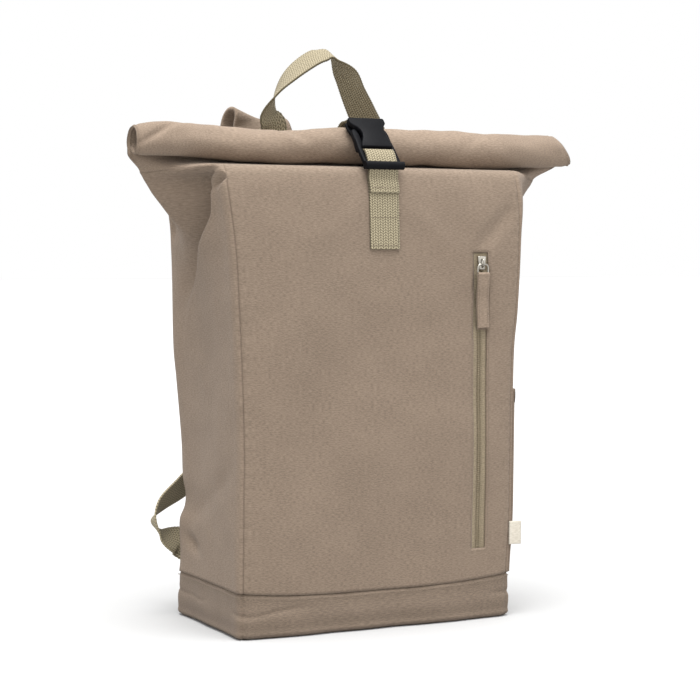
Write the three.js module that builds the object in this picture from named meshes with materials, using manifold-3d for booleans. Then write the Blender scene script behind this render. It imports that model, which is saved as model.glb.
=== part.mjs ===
// Rolltop backpack in plain canvas, standing closed: a gusseted bag on a low foot band, its
// flattened neck rolled forward one and a half turns and held by a webbing strap with a
// side-release buckle. Millimetres, +Z up, the front faces -Y, the origin is the middle of the
// bag's foot on the ground.

import * as THREE from "three";
import { mergeVertices } from "three/addons/utils/BufferGeometryUtils.js";
import Module from "manifold-3d";

const wasm = await Module();
wasm.setup();

// Driving dimensions: the bag
const WIDTH = 280;
const DEPTH = 150;
const BAND_HEIGHT = 42;
const SEAM_HEIGHT = 424;
const CLOTH = 2;
const GAP = 0.3;

// The rolled neck
const ROLL_LENGTH = 444;
const ROLL_RADIUS = 17;
const ROLL_FORWARD = 20;
const ROLL_CLEARANCE = 2.5;
const GUSSET_SAG = 7.6;
const SAGS_FROM = 0.86;
const FOLD_SLIT = 1;
const WRAP_SPACE = 0.5;

// Webbing, its buckle and its anchor on the front panel
const WEBBING_WIDTH = 30;
const WEBBING_THICK = 1.8;
const LAYER_GAP = 0.35;
const STRAP_SHIFT = 2;
const ANCHOR_BOTTOM = 349;
const ANCHOR_TAIL = 400;
const BACK_TAB_BOTTOM = 380;
const BUCKLE_LENGTH = 59;
const BUCKLE_WIDTH = 38;
const BUCKLE_THICK = 10;
const BUCKLE_SLOPE = 47;
const BUCKLE_BEHIND_TOUCH = 11;
const SOCKET_SHARE = 0.54;
const FRAME_SHOULDER = 2.6;
const PRONG_THICK = 4;
const BAR = 4;
const BAR_THICK = 3;
const INNER_BAR = 2.8;
const SOCKET_SHELL = 1.6;
const SOCKET_BEVEL = 1.2;
const PRONG_ROOM_FROM = 0.42;
const WINDOW_TO = 0.7;
const SLOT = 4.4;
const TURN_STEPS = 6;

// Front pocket zip
const ZIP_SHIFT = 104;
const ZIP_TOP = 346;
const ZIP_LENGTH = 278;
const ZIP_WINDOW = 14.5;
const ZIP_TAPE_LAP = 6;
const ZIP_TAPE_THICK = 1;
const COIL_WIDTH = 5;
const COIL_THICK = 1.5;
const SLIDER_WIDTH = 9;
const SLIDER_LENGTH = 13;
const SLIDER_THICK = 3;
const SLIDER_BELOW_TOP = 3;
const LINK_WIRE = 1.6;
const LINK_HEIGHT = 10;
const TAB_WIDTH = 12;
const TAB_LENGTH = 53;
const TAB_THICK = 1.1;

// Side pocket and side label
const POCKET_TOP = 217;
const POCKET_EASE = 8;
const POCKET_CLOTH = 1.6;
const POCKET_FULL_AT = 0.62;
const LABEL_HEIGHT = 22;
const LABEL_REACH = 12;
const LABEL_THICK = 0.9;
const LABEL_MIDDLE = 80;
const LABEL_SWEEP = 2;

// Carry handle and shoulder straps
const HANDLE_SPAN = 136;
const HANDLE_TOP = 536;
const HANDLE_END = 398;
const HANDLE_FORWARD = 34;
const SHOULDER_WIDTH = 62;
const SHOULDER_THICK = 3;
const SHOULDER_SHIFT = 60;
const SHOULDER_ARCH_LEFT = 480;
const SHOULDER_ARCH_RIGHT = 452;
const SHOULDER_END = 205;
const SHOULDER_STANDOFF = 20;
const SHOULDER_SEWN_FROM = 0.15;
const ADJUSTER_WIDTH = 40;
const ADJUSTER_LENGTH = 30;
const ADJUSTER_THICK = 4;
const ADJUSTER_SLOTS = [0.2, 0.58];
const ADJUSTER_SLOT = 0.2;
const WEBBING_FOOT = 62;
const WEBBING_FOOT_OUT = 0.83;
const HANDLE_STEPS = 36;
const SHOULDER_STEPS = 24;
const WEBBING_STEPS = 32;

const HALF_WIDTH = WIDTH / 2;
const HALF_DEPTH = DEPTH / 2;
const BODY_HEIGHT = SEAM_HEIGHT - BAND_HEIGHT;
const WRAP_THICK = 2 * CLOTH + FOLD_SLIT;
const WRAP_RADIUS = ROLL_RADIUS - WRAP_THICK / 2;
const ROLL_HEIGHT = SEAM_HEIGHT + ROLL_RADIUS + ROLL_CLEARANCE;

// Sections of the bag. rise is a share of the height from band to collar seam, front, back and
// fold are half-widths at the front seams, the back seams and the gusset's middle, as shares of
// half the width. near and far are the depths of the front and back panels, crown how far the
// panels swell and pinch how far each half gusset is pressed in, as shares of half the depth.
const SECTIONS = [
  { rise: 0.0, front: 0.975, back: 0.97, fold: 0.99, near: 0.985, far: 0.985, crown: 0.01, pinch: -0.03 },
  { rise: 0.13, front: 0.975, back: 0.955, fold: 1.005, near: 1.0, far: 1.0, crown: 0.03, pinch: -0.05 },
  { rise: 0.31, front: 0.975, back: 0.95, fold: 0.99, near: 1.0, far: 1.0, crown: 0.04, pinch: -0.05 },
  { rise: 0.5, front: 0.99, back: 0.985, fold: 0.995, near: 1.0, far: 1.0, crown: 0.04, pinch: -0.04 },
  { rise: 0.68, front: 1.01, back: 1.01, fold: 1.02, near: 1.0, far: 1.0, crown: 0.03, pinch: -0.02 },
  { rise: 0.77, front: 1.03, back: 1.025, fold: 1.06, near: 1.0, far: 0.995, crown: 0.02, pinch: 0.01 },
  { rise: 0.83, front: 1.04, back: 1.035, fold: 1.15, near: 0.995, far: 0.99, crown: 0.02, pinch: 0.09 },
  { rise: 0.875, front: 1.05, back: 1.04, fold: 1.26, near: 0.99, far: 0.985, crown: 0.015, pinch: 0.18 },
  { rise: 0.916, front: 1.06, back: 1.045, fold: 1.35, near: 0.985, far: 0.975, crown: 0.01, pinch: 0.26 },
  { rise: 0.95, front: 1.06, back: 1.05, fold: 1.42, near: 0.97, far: 0.95, crown: 0.01, pinch: 0.27 },
  { rise: 0.976, front: 1.06, back: 1.05, fold: 1.455, near: 0.94, far: 0.91, crown: 0.01, pinch: 0.22 },
  { rise: 0.99, front: 1.06, back: 1.05, fold: 1.475, near: 0.89, far: 0.86, crown: 0.01, pinch: 0.17 },
  { rise: 1.0, front: 1.055, back: 1.05, fold: 1.485, near: 0.8, far: 0.8, crown: 0.01, pinch: 0.12 },
];

// The foot band under the bag. rise is a share of the band's height, inset how far the wall
// stands inside the bag's lowest section, as a share of the cloth.
const BAND_ROWS = [
  { rise: 0.0, inset: 3.5 },
  { rise: 0.05, inset: 0.9 },
  { rise: 0.25, inset: -0.6 },
  { rise: 0.6, inset: -0.5 },
  { rise: 1.0, inset: 0 },
];

// The cloth between the collar seam and the rolled neck: inward is a share of the way in plan,
// lift a share of the way up.
const SHOULDER_ROWS = [
  { inward: 0.5, lift: 0.04 },
  { inward: 0.8, lift: 0.1 },
  { inward: 0.96, lift: 0.42 },
];

// Rises, dips and girth along the rolled neck: along runs from its left end at -1 to its right
// end at 1, lift and girth are shares of the roll's radius.
const ROLL_LINE = [
  { along: -1.0, lift: 0.04, girth: 0.84 },
  { along: -0.85, lift: 0.14, girth: 0.9 },
  { along: -0.5, lift: -0.08, girth: 0.9 },
  { along: -0.3, lift: -0.12, girth: 0.9 },
  { along: -0.1, lift: 0.02, girth: 1.0 },
  { along: 0.3, lift: 0.03, girth: 1.06 },
  { along: 0.65, lift: -0.04, girth: 1.06 },
  { along: 1.0, lift: 0.1, girth: 0.92 },
];

// Turns of the rolled neck: it starts at the back, passes over the top, down the front and in.
const ROLL_START = -30;
const ROLL_TIGHTENS = 230;
const ROLL_INSIDE = 320;
const ROLL_END = 495;
const ROLL_STEPS = 20;

// The carry handle's line: across is a share of half its span, rise of its height over the
// collar seam, turn how far the webbing has turned from flat on the back panel to flat on top.
const HANDLE_LINE = [
  { across: -0.84, rise: 0.3, turn: 0, forward: 0.75 },
  { across: -0.66, rise: 0.58, turn: 25, forward: 0.9 },
  { across: -0.28, rise: 0.84, turn: 60, forward: 1.0 },
  { across: 0.12, rise: 0.99, turn: 85, forward: 1.0 },
  { across: 0.52, rise: 0.94, turn: 110, forward: 1.0 },
  { across: 0.84, rise: 0.62, turn: 150, forward: 0.95 },
  { across: 1.05, rise: 0.3, turn: 180, forward: 0.8 },
];

// A shoulder strap's line from its sewn end over its arch and down the back: outward is a share
// of its shift, behind of its standoff, height of the reach named in from, measured upwards.
const SHOULDER_LINE = [
  { outward: 1.0, behind: 0.35, arch: 0.45 },
  { outward: 1.02, behind: 0.6, arch: 0.88 },
  { outward: 1.04, behind: 0.95, arch: 1.0 },
  { outward: 1.06, behind: 1.35, arch: 0.8 },
  { outward: 1.08, behind: 1.3, arch: 0.2 },
];
const SHOULDER_FALL = [
  { outward: 1.1, behind: 1.05, down: 0.25 },
  { outward: 1.16, behind: 1.0, down: 0.55 },
  { outward: 1.26, behind: 1.0, down: 0.86 },
  { outward: 1.27, behind: 1.0, down: 1.0 },
];

// The slack webbing between adjuster and foot: out is a share of half the bag's width, height of
// the adjuster's lower edge, behind of the standoff, and lean, edge and turned point the
// webbing's width outwards, to the back and upwards.
const WEBBING_LINE = [
  { out: 0.69, height: 0.83, behind: 0.9, lean: 0.85, edge: 0.0, turned: 0.5 },
  { out: 0.89, height: 0.665, behind: 0.8, lean: 0.7, edge: 0.1, turned: 0.7 },
  { out: 1.045, height: 0.56, behind: 0.75, lean: 0.2, edge: 1.0, turned: 0.2 },
  { out: 1.11, height: 0.495, behind: 0.72, lean: 0.0, edge: 1.0, turned: 0.0 },
  { out: 1.06, height: 0.43, behind: 0.66, lean: -0.1, edge: 1.0, turned: 0.1 },
  { out: 0.95, height: 0.39, behind: 0.35, lean: -0.2, edge: 0.5, turned: 0.85 },
];

const palette = {
  canvas: new THREE.MeshStandardMaterial({ color: 0xa8937b, roughness: 0.92, metalness: 0 }),
  webbing: new THREE.MeshStandardMaterial({ color: 0xb3a37d, roughness: 0.9, metalness: 0 }),
  plastic: new THREE.MeshStandardMaterial({ color: 0x24262a, roughness: 0.4, metalness: 0 }),
  zip: new THREE.MeshStandardMaterial({ color: 0x9a8a6c, roughness: 0.8, metalness: 0 }),
  nickel: new THREE.MeshStandardMaterial({ color: 0xb9b5ac, roughness: 0.3, metalness: 1 }),
  label: new THREE.MeshStandardMaterial({ color: 0xe0dccd, roughness: 0.85, metalness: 0 }),
};

const bag = new THREE.Group();

function addPiece(name, geometry, material) {
  const mesh = new THREE.Mesh(geometry, material);
  mesh.name = name;
  bag.add(mesh);
}

// Plain number and point helpers

function lerp(from, to, share) {
  return from + (to - from) * share;
}

function point(x, y, z) {
  return new THREE.Vector3(x, y, z);
}

function radians(degrees) {
  return (degrees * Math.PI) / 180;
}

// A row of a table at a place between its rows, found in the column named by key.
function rowAt(table, key, place) {
  let upper = table.findIndex((row) => row[key] >= place);
  if (upper < 0) {
    upper = table.length - 1;
  }
  const lower = Math.max(upper - 1, 0);
  const span = table[upper][key] - table[lower][key];
  const share = span > 0 ? (place - table[lower][key]) / span : 0;
  const row = {};
  for (const column of Object.keys(table[lower])) {
    row[column] = lerp(table[lower][column], table[upper][column], share);
  }
  return row;
}

// Solids from points and triangles

function solidGeometry(points, triangles) {
  const geometry = new THREE.BufferGeometry();
  const numbers = points.flatMap((at) => at.toArray());
  geometry.setAttribute("position", new THREE.Float32BufferAttribute(numbers, 3));
  geometry.setIndex(triangles.flat());
  return geometry;
}

// Quads between two closed rings of points, given by the number of each ring's first point.
function ringQuads(triangles, lower, upper, count) {
  for (let index = 0; index < count; index += 1) {
    const next = (index + 1) % count;
    triangles.push([lower + index, lower + next, upper + next]);
    triangles.push([lower + index, upper + next, upper + index]);
  }
}

// The same quads, split along their other diagonal, so that two rims that meet match.
function rimQuads(triangles, lower, upper, count) {
  for (let index = 0; index < count; index += 1) {
    const next = (index + 1) % count;
    triangles.push([lower + index, lower + next, upper + index]);
    triangles.push([lower + next, upper + next, upper + index]);
  }
}

// A tube with a wall: rings run upwards, each anticlockwise seen from above.
function tubeSolid(outer, inner) {
  const count = outer[0].length;
  const points = [...outer.flat(), ...inner.flat()];
  const inside = outer.length * count;
  const last = (outer.length - 1) * count;
  const triangles = [];
  for (let row = 0; row + 1 < outer.length; row += 1) {
    ringQuads(triangles, row * count, (row + 1) * count, count);
    ringQuads(triangles, inside + (row + 1) * count, inside + row * count, count);
  }
  ringQuads(triangles, inside, 0, count);
  rimQuads(triangles, last, inside + last, count);
  return solidGeometry(points, triangles);
}

// A cup: as the tube, but with a floor under its lowest outer and inner rings.
function cupSolid(outer, inner) {
  const count = outer[0].length;
  const outerCentre = point(0, 0, outer[0][0].z);
  const innerCentre = point(0, 0, inner[0][0].z);
  const points = [...outer.flat(), ...inner.flat(), outerCentre, innerCentre];
  const inside = outer.length * count;
  const centre = inside + inner.length * count;
  const triangles = [];
  for (let row = 0; row + 1 < outer.length; row += 1) {
    ringQuads(triangles, row * count, (row + 1) * count, count);
  }
  for (let row = 0; row + 1 < inner.length; row += 1) {
    ringQuads(triangles, inside + (row + 1) * count, inside + row * count, count);
  }
  ringQuads(triangles, (outer.length - 1) * count, inside + (inner.length - 1) * count, count);
  for (let index = 0; index < count; index += 1) {
    const next = (index + 1) % count;
    triangles.push([centre, next, index]);
    triangles.push([centre + 1, inside + index, inside + next]);
  }
  return solidGeometry(points, triangles);
}

// A solid swept through closed sections of equal size, with flat ends.
function sweptSolid(sections) {
  const count = sections[0].length;
  const points = sections.flat();
  const last = (sections.length - 1) * count;
  const triangles = [];
  for (let row = 0; row + 1 < sections.length; row += 1) {
    ringQuads(triangles, row * count, (row + 1) * count, count);
  }
  for (let index = 1; index + 1 < count; index += 1) {
    triangles.push([0, index + 1, index]);
    triangles.push([last, last + index, last + index + 1]);
  }
  return solidGeometry(points, triangles);
}

// A curved sheet with a wall: face and back are grids of rows of points, the back lies behind
// the face, and a face's row runs to the right with the next row above it.
function sheetSolid(face, back) {
  const columns = face[0].length;
  const sections = [];
  for (let column = 0; column < columns; column += 1) {
    const up = face.map((row) => row[column]);
    const down = back.map((row) => row[column]).reverse();
    sections.push([...up, ...down]);
  }
  const count = sections[0].length;
  const rows = face.length;
  const points = sections.flat();
  const last = (columns - 1) * count;
  const triangles = [];
  for (let column = 0; column + 1 < columns; column += 1) {
    ringQuads(triangles, (column + 1) * count, column * count, count);
  }
  for (let row = 0; row + 1 < rows; row += 1) {
    const behind = count - 1 - row;
    triangles.push([row, row + 1, behind - 1]);
    triangles.push([row, behind - 1, behind]);
    triangles.push([last + row, last + behind - 1, last + row + 1]);
    triangles.push([last + row, last + behind, last + behind - 1]);
  }
  return solidGeometry(points, triangles);
}

// Joining and cutting

function toManifold(geometry) {
  const bare = new THREE.BufferGeometry();
  bare.setAttribute("position", geometry.getAttribute("position").clone());
  if (geometry.index) {
    bare.setIndex(geometry.index.clone());
  }
  const merged = mergeVertices(bare, 1e-5);
  const vertProperties = new Float32Array(merged.getAttribute("position").array);
  const triVerts = new Uint32Array(merged.index.array);
  return new wasm.Manifold(new wasm.Mesh({ numProp: 3, vertProperties, triVerts }));
}

function fromManifold(manifold) {
  const mesh = manifold.getMesh();
  const geometry = new THREE.BufferGeometry();
  geometry.setAttribute("position", new THREE.BufferAttribute(mesh.vertProperties, 3));
  geometry.setIndex(new THREE.BufferAttribute(mesh.triVerts, 1));
  return geometry;
}

function joined(geometries) {
  const [first, ...others] = geometries.map(toManifold);
  return fromManifold(others.reduce((sum, next) => sum.add(next), first));
}

function cut(geometry, cutters) {
  const whole = toManifold(geometry);
  return fromManifold(cutters.reduce((left, next) => left.subtract(toManifold(next)), whole));
}

function boxBetween(low, high) {
  const geometry = new THREE.BoxGeometry(high.x - low.x, high.y - low.y, high.z - low.z);
  return geometry.translate((low.x + high.x) / 2, (low.y + high.y) / 2, (low.z + high.z) / 2);
}

// The ring of cloth. Its points run anticlockwise seen from above: front panel, right gusset,
// back panel, left gusset. across is the side, toFold the share of the way from seam to fold, and
// layer tells the front cloth from the back cloth.
const PANEL_STEPS = 8;
const GUSSET_SHARES = [0.25, 0.5, 0.75, 0.94];

function ringLayout() {
  const panel = Array.from({ length: PANEL_STEPS + 1 }, (_, step) => -1 + (2 * step) / PANEL_STEPS);
  const half = (across, layer) => GUSSET_SHARES.map((toFold) => ({ across, toFold, layer }));
  return [
    ...panel.map((across) => ({ across, toFold: 0, layer: 1 })),
    ...half(1, 1),
    { across: 1, toFold: 1, layer: 0 },
    ...half(1, -1).reverse(),
    ...panel.map((across) => ({ across: -across, toFold: 0, layer: -1 })),
    ...half(-1, -1),
    { across: -1, toFold: 1, layer: 0 },
    ...half(-1, 1).reverse(),
  ];
}

const LAYOUT = ringLayout();

function sectionHeight(section) {
  return BAND_HEIGHT + section.rise * BODY_HEIGHT;
}

function sectionPoint(section, place) {
  const isBack = place.layer < 0;
  const seamX = HALF_WIDTH * (isBack ? section.back : section.front) * place.across;
  const panelY = HALF_DEPTH * (isBack ? section.far : -section.near);
  const swell = HALF_DEPTH * section.crown * (1 - place.across ** 2);
  const x = lerp(seamX, HALF_WIDTH * section.fold * place.across, place.toFold);
  const y = lerp(panelY + (isBack ? swell : -swell), 0, place.toFold);
  const press = HALF_DEPTH * section.pinch * Math.sin(Math.PI * place.toFold) * place.across;
  const sag = GUSSET_SAG * Math.max((section.rise - SAGS_FROM) / (1 - SAGS_FROM), 0);
  return point(x - press, y, sectionHeight(section) - sag * place.toFold);
}

// The rolled neck

function rollLine(x) {
  return rowAt(ROLL_LINE, "along", THREE.MathUtils.clamp((2 * x) / ROLL_LENGTH, -1, 1));
}

function wrapRadius(angle) {
  if (angle <= ROLL_TIGHTENS) {
    return WRAP_RADIUS;
  }
  const pitch = WRAP_THICK + WRAP_SPACE;
  if (angle <= ROLL_INSIDE) {
    return WRAP_RADIUS - (pitch * (angle - ROLL_TIGHTENS)) / (ROLL_INSIDE - ROLL_TIGHTENS);
  }
  return WRAP_RADIUS - pitch - (pitch * (angle - ROLL_INSIDE)) / 360;
}

function rollPoint(angle, place) {
  const seamX = HALF_WIDTH * SECTIONS.at(-1).front;
  const x = place.across * lerp(seamX, ROLL_LENGTH / 2, place.toFold);
  const line = rollLine(x);
  const radius = wrapRadius(angle) * line.girth - (place.layer * WRAP_THICK) / 2;
  const turn = radians(angle);
  const y = -ROLL_FORWARD + radius * Math.cos(turn);
  const z = ROLL_HEIGHT + line.lift * ROLL_RADIUS + radius * Math.sin(turn);
  return point(x, y, z);
}

function shoulderRing(row, seam, neck) {
  return LAYOUT.map((place, index) => {
    const lift = lerp(row.lift, row.inward, place.toFold ** 2);
    const x = lerp(seam[index].x, neck[index].x, row.inward);
    const y = lerp(seam[index].y, neck[index].y, row.inward);
    return point(x, y, lerp(seam[index].z, neck[index].z, lift));
  });
}

// Outer rings of the whole cloth, from the band to the mouth inside the roll.
const bodyRings = SECTIONS.map((section) => LAYOUT.map((place) => sectionPoint(section, place)));
const seamRing = bodyRings.at(-1);
const neckRing = LAYOUT.map((place) => rollPoint(ROLL_START, place));
const shoulderRings = SHOULDER_ROWS.map((row) => shoulderRing(row, seamRing, neckRing));
const rollRings = Array.from({ length: ROLL_STEPS + 1 }, (_, step) => {
  const angle = lerp(ROLL_START, ROLL_END, step / ROLL_STEPS);
  return LAYOUT.map((place) => rollPoint(angle, place));
});
const clothRings = [...bodyRings, ...shoulderRings, ...rollRings];

// The wall's inner side: each point moved in along the surface's normal.
function innerRings(rings) {
  const count = rings[0].length;
  return rings.map((ring, row) => ring.map((at, index) => {
    const above = rings[Math.min(row + 1, rings.length - 1)][index];
    const below = rings[Math.max(row - 1, 0)][index];
    const next = ring[(index + 1) % count];
    const before = ring[(index + count - 1) % count];
    const upward = above.clone().sub(below).normalize();
    const onward = next.clone().sub(at).normalize().add(at.clone().sub(before).normalize());
    const normal = onward.cross(upward).normalize();
    return at.clone().addScaledVector(normal, -CLOTH);
  }));
}

const clothInner = innerRings(clothRings);
const seamRow = bodyRings.length - 1;

// The bag, with the window for the front pocket's zip cut through its front panel

function zipWindow() {
  const low = point(ZIP_SHIFT - ZIP_WINDOW / 2, -HALF_DEPTH - 3 * CLOTH, ZIP_TOP - ZIP_LENGTH);
  const high = point(ZIP_SHIFT + ZIP_WINDOW / 2, -HALF_DEPTH + 3 * CLOTH, ZIP_TOP);
  return boxBetween(low, high);
}

function bagBody() {
  const outer = bodyRings;
  const inner = clothInner.slice(0, seamRow + 1);
  inner[0].forEach((at, index) => {
    at.z = outer[0][index].z;
  });
  return cut(tubeSolid(outer, inner), [zipWindow()]);
}

function rolledCollar() {
  const shift = (at, towards) => at.clone().add(towards.clone().sub(at).setLength(GAP));
  const outer = clothRings.slice(seamRow);
  const inner = clothInner.slice(seamRow);
  const lifts = outer[0].map((at, index) => shift(at, outer[1][index]).sub(at));
  outer[0] = outer[0].map((at, index) => at.clone().add(lifts[index]));
  inner[0] = inner[0].map((at, index) => at.clone().add(lifts[index]));
  return tubeSolid(outer, inner);
}

// The foot band with the floor of the bag

function bandRing(height, inset) {
  return LAYOUT.map((place) => {
    const at = sectionPoint(SECTIONS[0], place);
    const outward = point(at.x / HALF_WIDTH, at.y / HALF_DEPTH, 0);
    const step = point(Math.round(outward.x), Math.round(outward.y), 0);
    return point(at.x - inset * step.x, at.y - inset * step.y, height);
  });
}

function baseBand() {
  const top = BAND_HEIGHT - GAP;
  const outer = BAND_ROWS.map((row) => bandRing(row.rise * top, row.inset * CLOTH));
  const floor = BAND_ROWS.map((row) => bandRing(lerp(CLOTH, top, row.rise), (row.inset + 1) * CLOTH));
  return cupSolid(outer, floor);
}

// Pieces that lie on the front panel follow it through its own sections

function sectionAt(height) {
  return rowAt(SECTIONS, "rise", (height - BAND_HEIGHT) / BODY_HEIGHT);
}

function frontY(x, height) {
  const section = sectionAt(height);
  const across = x / (HALF_WIDTH * section.front);
  return -HALF_DEPTH * (section.near + section.crown * (1 - across ** 2));
}

function heightsBetween(low, high) {
  const rows = SECTIONS.map(sectionHeight).filter((height) => height > low + 1 && height < high - 1);
  return [low, ...rows, high];
}

// A strip on the front panel, its face standing out by proud and its back lying thick behind.
function frontStrip(middle, width, low, high, proud, thick) {
  const columns = [middle - width / 2, middle, middle + width / 2];
  const heights = heightsBetween(low, high);
  const grid = (offset) => heights.map((height) => columns.map((x) => (
    point(x, frontY(x, height) + offset, height)
  )));
  return sheetSolid(grid(-proud), grid(thick - proud));
}

const tapeFace = -(CLOTH + GAP);
const coilFace = tapeFace + GAP + COIL_THICK;
const sliderBack = coilFace + GAP;
const sliderFace = sliderBack + SLIDER_THICK;
const sliderTop = ZIP_TOP - SLIDER_BELOW_TOP;
const zipFront = frontY(ZIP_SHIFT, sliderTop);

function zipTape() {
  const low = ZIP_TOP - ZIP_LENGTH - ZIP_TAPE_LAP;
  const width = ZIP_WINDOW + 2 * ZIP_TAPE_LAP;
  return frontStrip(ZIP_SHIFT, width, low, ZIP_TOP + ZIP_TAPE_LAP, tapeFace, ZIP_TAPE_THICK);
}

function zipCoil() {
  const low = ZIP_TOP - ZIP_LENGTH + GAP;
  return frontStrip(ZIP_SHIFT, COIL_WIDTH, low, ZIP_TOP - GAP, coilFace, COIL_THICK);
}

// The slider's bail and the link's bars: the link hangs in the bail, the pull tab on the link.
const bailHeight = LINK_WIRE + 2 * GAP + LINK_WIRE;
const linkWidth = TAB_WIDTH + 2 * GAP + 2 * LINK_WIRE;
const bailMiddle = sliderTop - SLIDER_LENGTH + 2 * LINK_WIRE + GAP;
const linkTop = bailMiddle + LINK_WIRE / 2;
const linkFront = zipFront - sliderFace - GAP - LINK_WIRE;

function zipSlider() {
  const front = zipFront - sliderFace;
  const half = SLIDER_WIDTH / 2;
  const plate = boxBetween(
    point(ZIP_SHIFT - half, front, sliderTop - SLIDER_LENGTH),
    point(ZIP_SHIFT + half, zipFront - sliderBack, sliderTop),
  );
  const wire = LINK_WIRE;
  const bail = boxBetween(
    point(ZIP_SHIFT - wire, front - bailHeight, bailMiddle - wire / 2 - GAP - wire),
    point(ZIP_SHIFT + wire, front, bailMiddle + wire / 2 + GAP + wire),
  );
  const eye = boxBetween(
    point(ZIP_SHIFT - 2 * wire, linkFront - GAP, bailMiddle - wire / 2 - GAP),
    point(ZIP_SHIFT + 2 * wire, front, bailMiddle + wire / 2 + GAP),
  );
  return joined([plate, cut(bail, [eye])]);
}

function pullLink() {
  const half = linkWidth / 2;
  const outline = boxBetween(
    point(ZIP_SHIFT - half, linkFront, linkTop - LINK_HEIGHT),
    point(ZIP_SHIFT + half, linkFront + LINK_WIRE, linkTop),
  );
  const hole = boxBetween(
    point(ZIP_SHIFT - half + LINK_WIRE, linkFront - 1, linkTop - LINK_HEIGHT + LINK_WIRE),
    point(ZIP_SHIFT + half - LINK_WIRE, linkFront + LINK_WIRE + 1, linkTop - LINK_WIRE),
  );
  return cut(outline, [hole]);
}

function pullTab() {
  const barLow = linkTop - LINK_HEIGHT;
  const near = linkFront - GAP - TAB_THICK;
  const far = linkFront + LINK_WIRE + GAP + TAB_THICK;
  const half = TAB_WIDTH / 2;
  const middle = linkFront + LINK_WIRE / 2;
  const strip = boxBetween(
    point(ZIP_SHIFT - half, middle - TAB_THICK, barLow + LINK_WIRE - TAB_LENGTH),
    point(ZIP_SHIFT + half, middle + TAB_THICK, barLow),
  );
  const loop = boxBetween(
    point(ZIP_SHIFT - half, near, barLow - GAP - TAB_THICK),
    point(ZIP_SHIFT + half, far, barLow + LINK_WIRE + GAP + TAB_THICK),
  );
  const eye = boxBetween(
    point(ZIP_SHIFT - half - 1, linkFront - GAP, barLow - GAP),
    point(ZIP_SHIFT + half + 1, linkFront + LINK_WIRE + GAP, barLow + LINK_WIRE + GAP),
  );
  return cut(joined([strip, loop]), [eye]);
}

// Bands of webbing or cloth: a line of points with the direction of the band's width at each

function bandSolid(stations, width, thick) {
  const corners = stations.map((station, index) => {
    const ahead = stations[Math.min(index + 1, stations.length - 1)].at;
    const behind = stations[Math.max(index - 1, 0)].at;
    const along = ahead.clone().sub(behind).normalize();
    const across = station.across.clone().addScaledVector(along, -station.across.dot(along)).normalize();
    const out = along.clone().cross(across).normalize();
    const corner = (side, face) => station.at.clone()
      .addScaledVector(across, (side * width) / 2)
      .addScaledVector(out, (face * thick) / 2);
    return [corner(-1, -1), corner(1, -1), corner(1, 1), corner(-1, 1)];
  });
  const last = (corners.length - 1) * 4;
  const triangles = [[0, 2, 1], [0, 3, 2], [last, last + 1, last + 2], [last, last + 2, last + 3]];
  for (let row = 0; row < last; row += 4) {
    const [a, b, c, d, e, f, g, h] = [0, 1, 2, 3, 4, 5, 6, 7].map((index) => row + index);
    triangles.push([a, b, f], [a, f, e], [b, c, g], [b, g, f]);
    triangles.push([c, d, g], [d, h, g], [d, a, e], [d, e, h]);
  }
  return solidGeometry(corners.flat(), triangles);
}

// A smooth line through a table's points, with the width's direction carried between them.
function smoothStations(points, acrosses, steps) {
  const curve = new THREE.CatmullRomCurve3(points, false, "centripetal");
  return Array.from({ length: steps + 1 }, (_, step) => {
    const place = (step / steps) * (points.length - 1);
    const index = Math.min(Math.floor(place), points.length - 2);
    const across = acrosses[index].clone().lerp(acrosses[index + 1], place - index);
    return { at: curve.getPoint(step / steps), across };
  });
}

// The buckle lies on a slope over the roll's front and the bag's front edge. Its own frame:
// down runs along the slope, out stands square to it, both in the plane of depth and height.
const slope = radians(BUCKLE_SLOPE);
const down = point(0, -Math.cos(slope), -Math.sin(slope));
const out = point(0, -Math.sin(slope), Math.cos(slope));
const strapLine = rollLine(STRAP_SHIFT);
const strapRoll = point(STRAP_SHIFT, -ROLL_FORWARD, ROLL_HEIGHT + strapLine.lift * ROLL_RADIUS);
const strapRollRadius = WRAP_RADIUS * strapLine.girth + WRAP_THICK / 2;
const buckleTouch = strapRoll.clone().addScaledVector(out, strapRollRadius + 2 * GAP + BUCKLE_THICK / 2);
const buckleTop = -BUCKLE_BEHIND_TOUCH;
const buckleBottom = buckleTop + BUCKLE_LENGTH;
const socketMouth = buckleTop + BUCKLE_LENGTH * SOCKET_SHARE;
const frameStart = socketMouth + GAP;
const innerWrap = Math.hypot(INNER_BAR, BAR_THICK) / 2 + LAYER_GAP + WEBBING_THICK / 2;
const midBar = frameStart + FRAME_SHOULDER + LAYER_GAP + WEBBING_THICK / 2 + innerWrap;
const socketLength = socketMouth - buckleTop;

function onBuckle(along, outward) {
  return buckleTouch.clone().addScaledVector(down, along).addScaledVector(out, outward);
}

// A block in the buckle's frame: x across, along the slope, and out of it.
function buckleBlock(x0, x1, along0, along1, out0, out1) {
  const geometry = new THREE.BoxGeometry(x1 - x0, along1 - along0, out1 - out0);
  geometry.translate((x0 + x1) / 2, -(along0 + along1) / 2, (out0 + out1) / 2);
  return placeOnSlope(geometry);
}

// Turns a shape drawn with y up the slope and z out of it into its place on the buckle's slope.
function placeOnSlope(geometry) {
  const basis = new THREE.Matrix4().makeBasis(point(1, 0, 0), down.clone().negate(), out);
  basis.setPosition(buckleTouch);
  return geometry.applyMatrix4(basis);
}

function plateOnSlope(outline, out0, out1, bevel) {
  const shape = new THREE.Shape(outline.map(([x, along]) => new THREE.Vector2(x, -along)));
  const geometry = new THREE.ExtrudeGeometry(shape, {
    depth: out1 - out0 - 2 * bevel,
    bevelEnabled: bevel > 0,
    bevelThickness: bevel,
    bevelSize: bevel,
    bevelOffset: -bevel,
    bevelSegments: 1,
  });
  geometry.translate(0, 0, out0 + bevel);
  return placeOnSlope(geometry);
}

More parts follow.
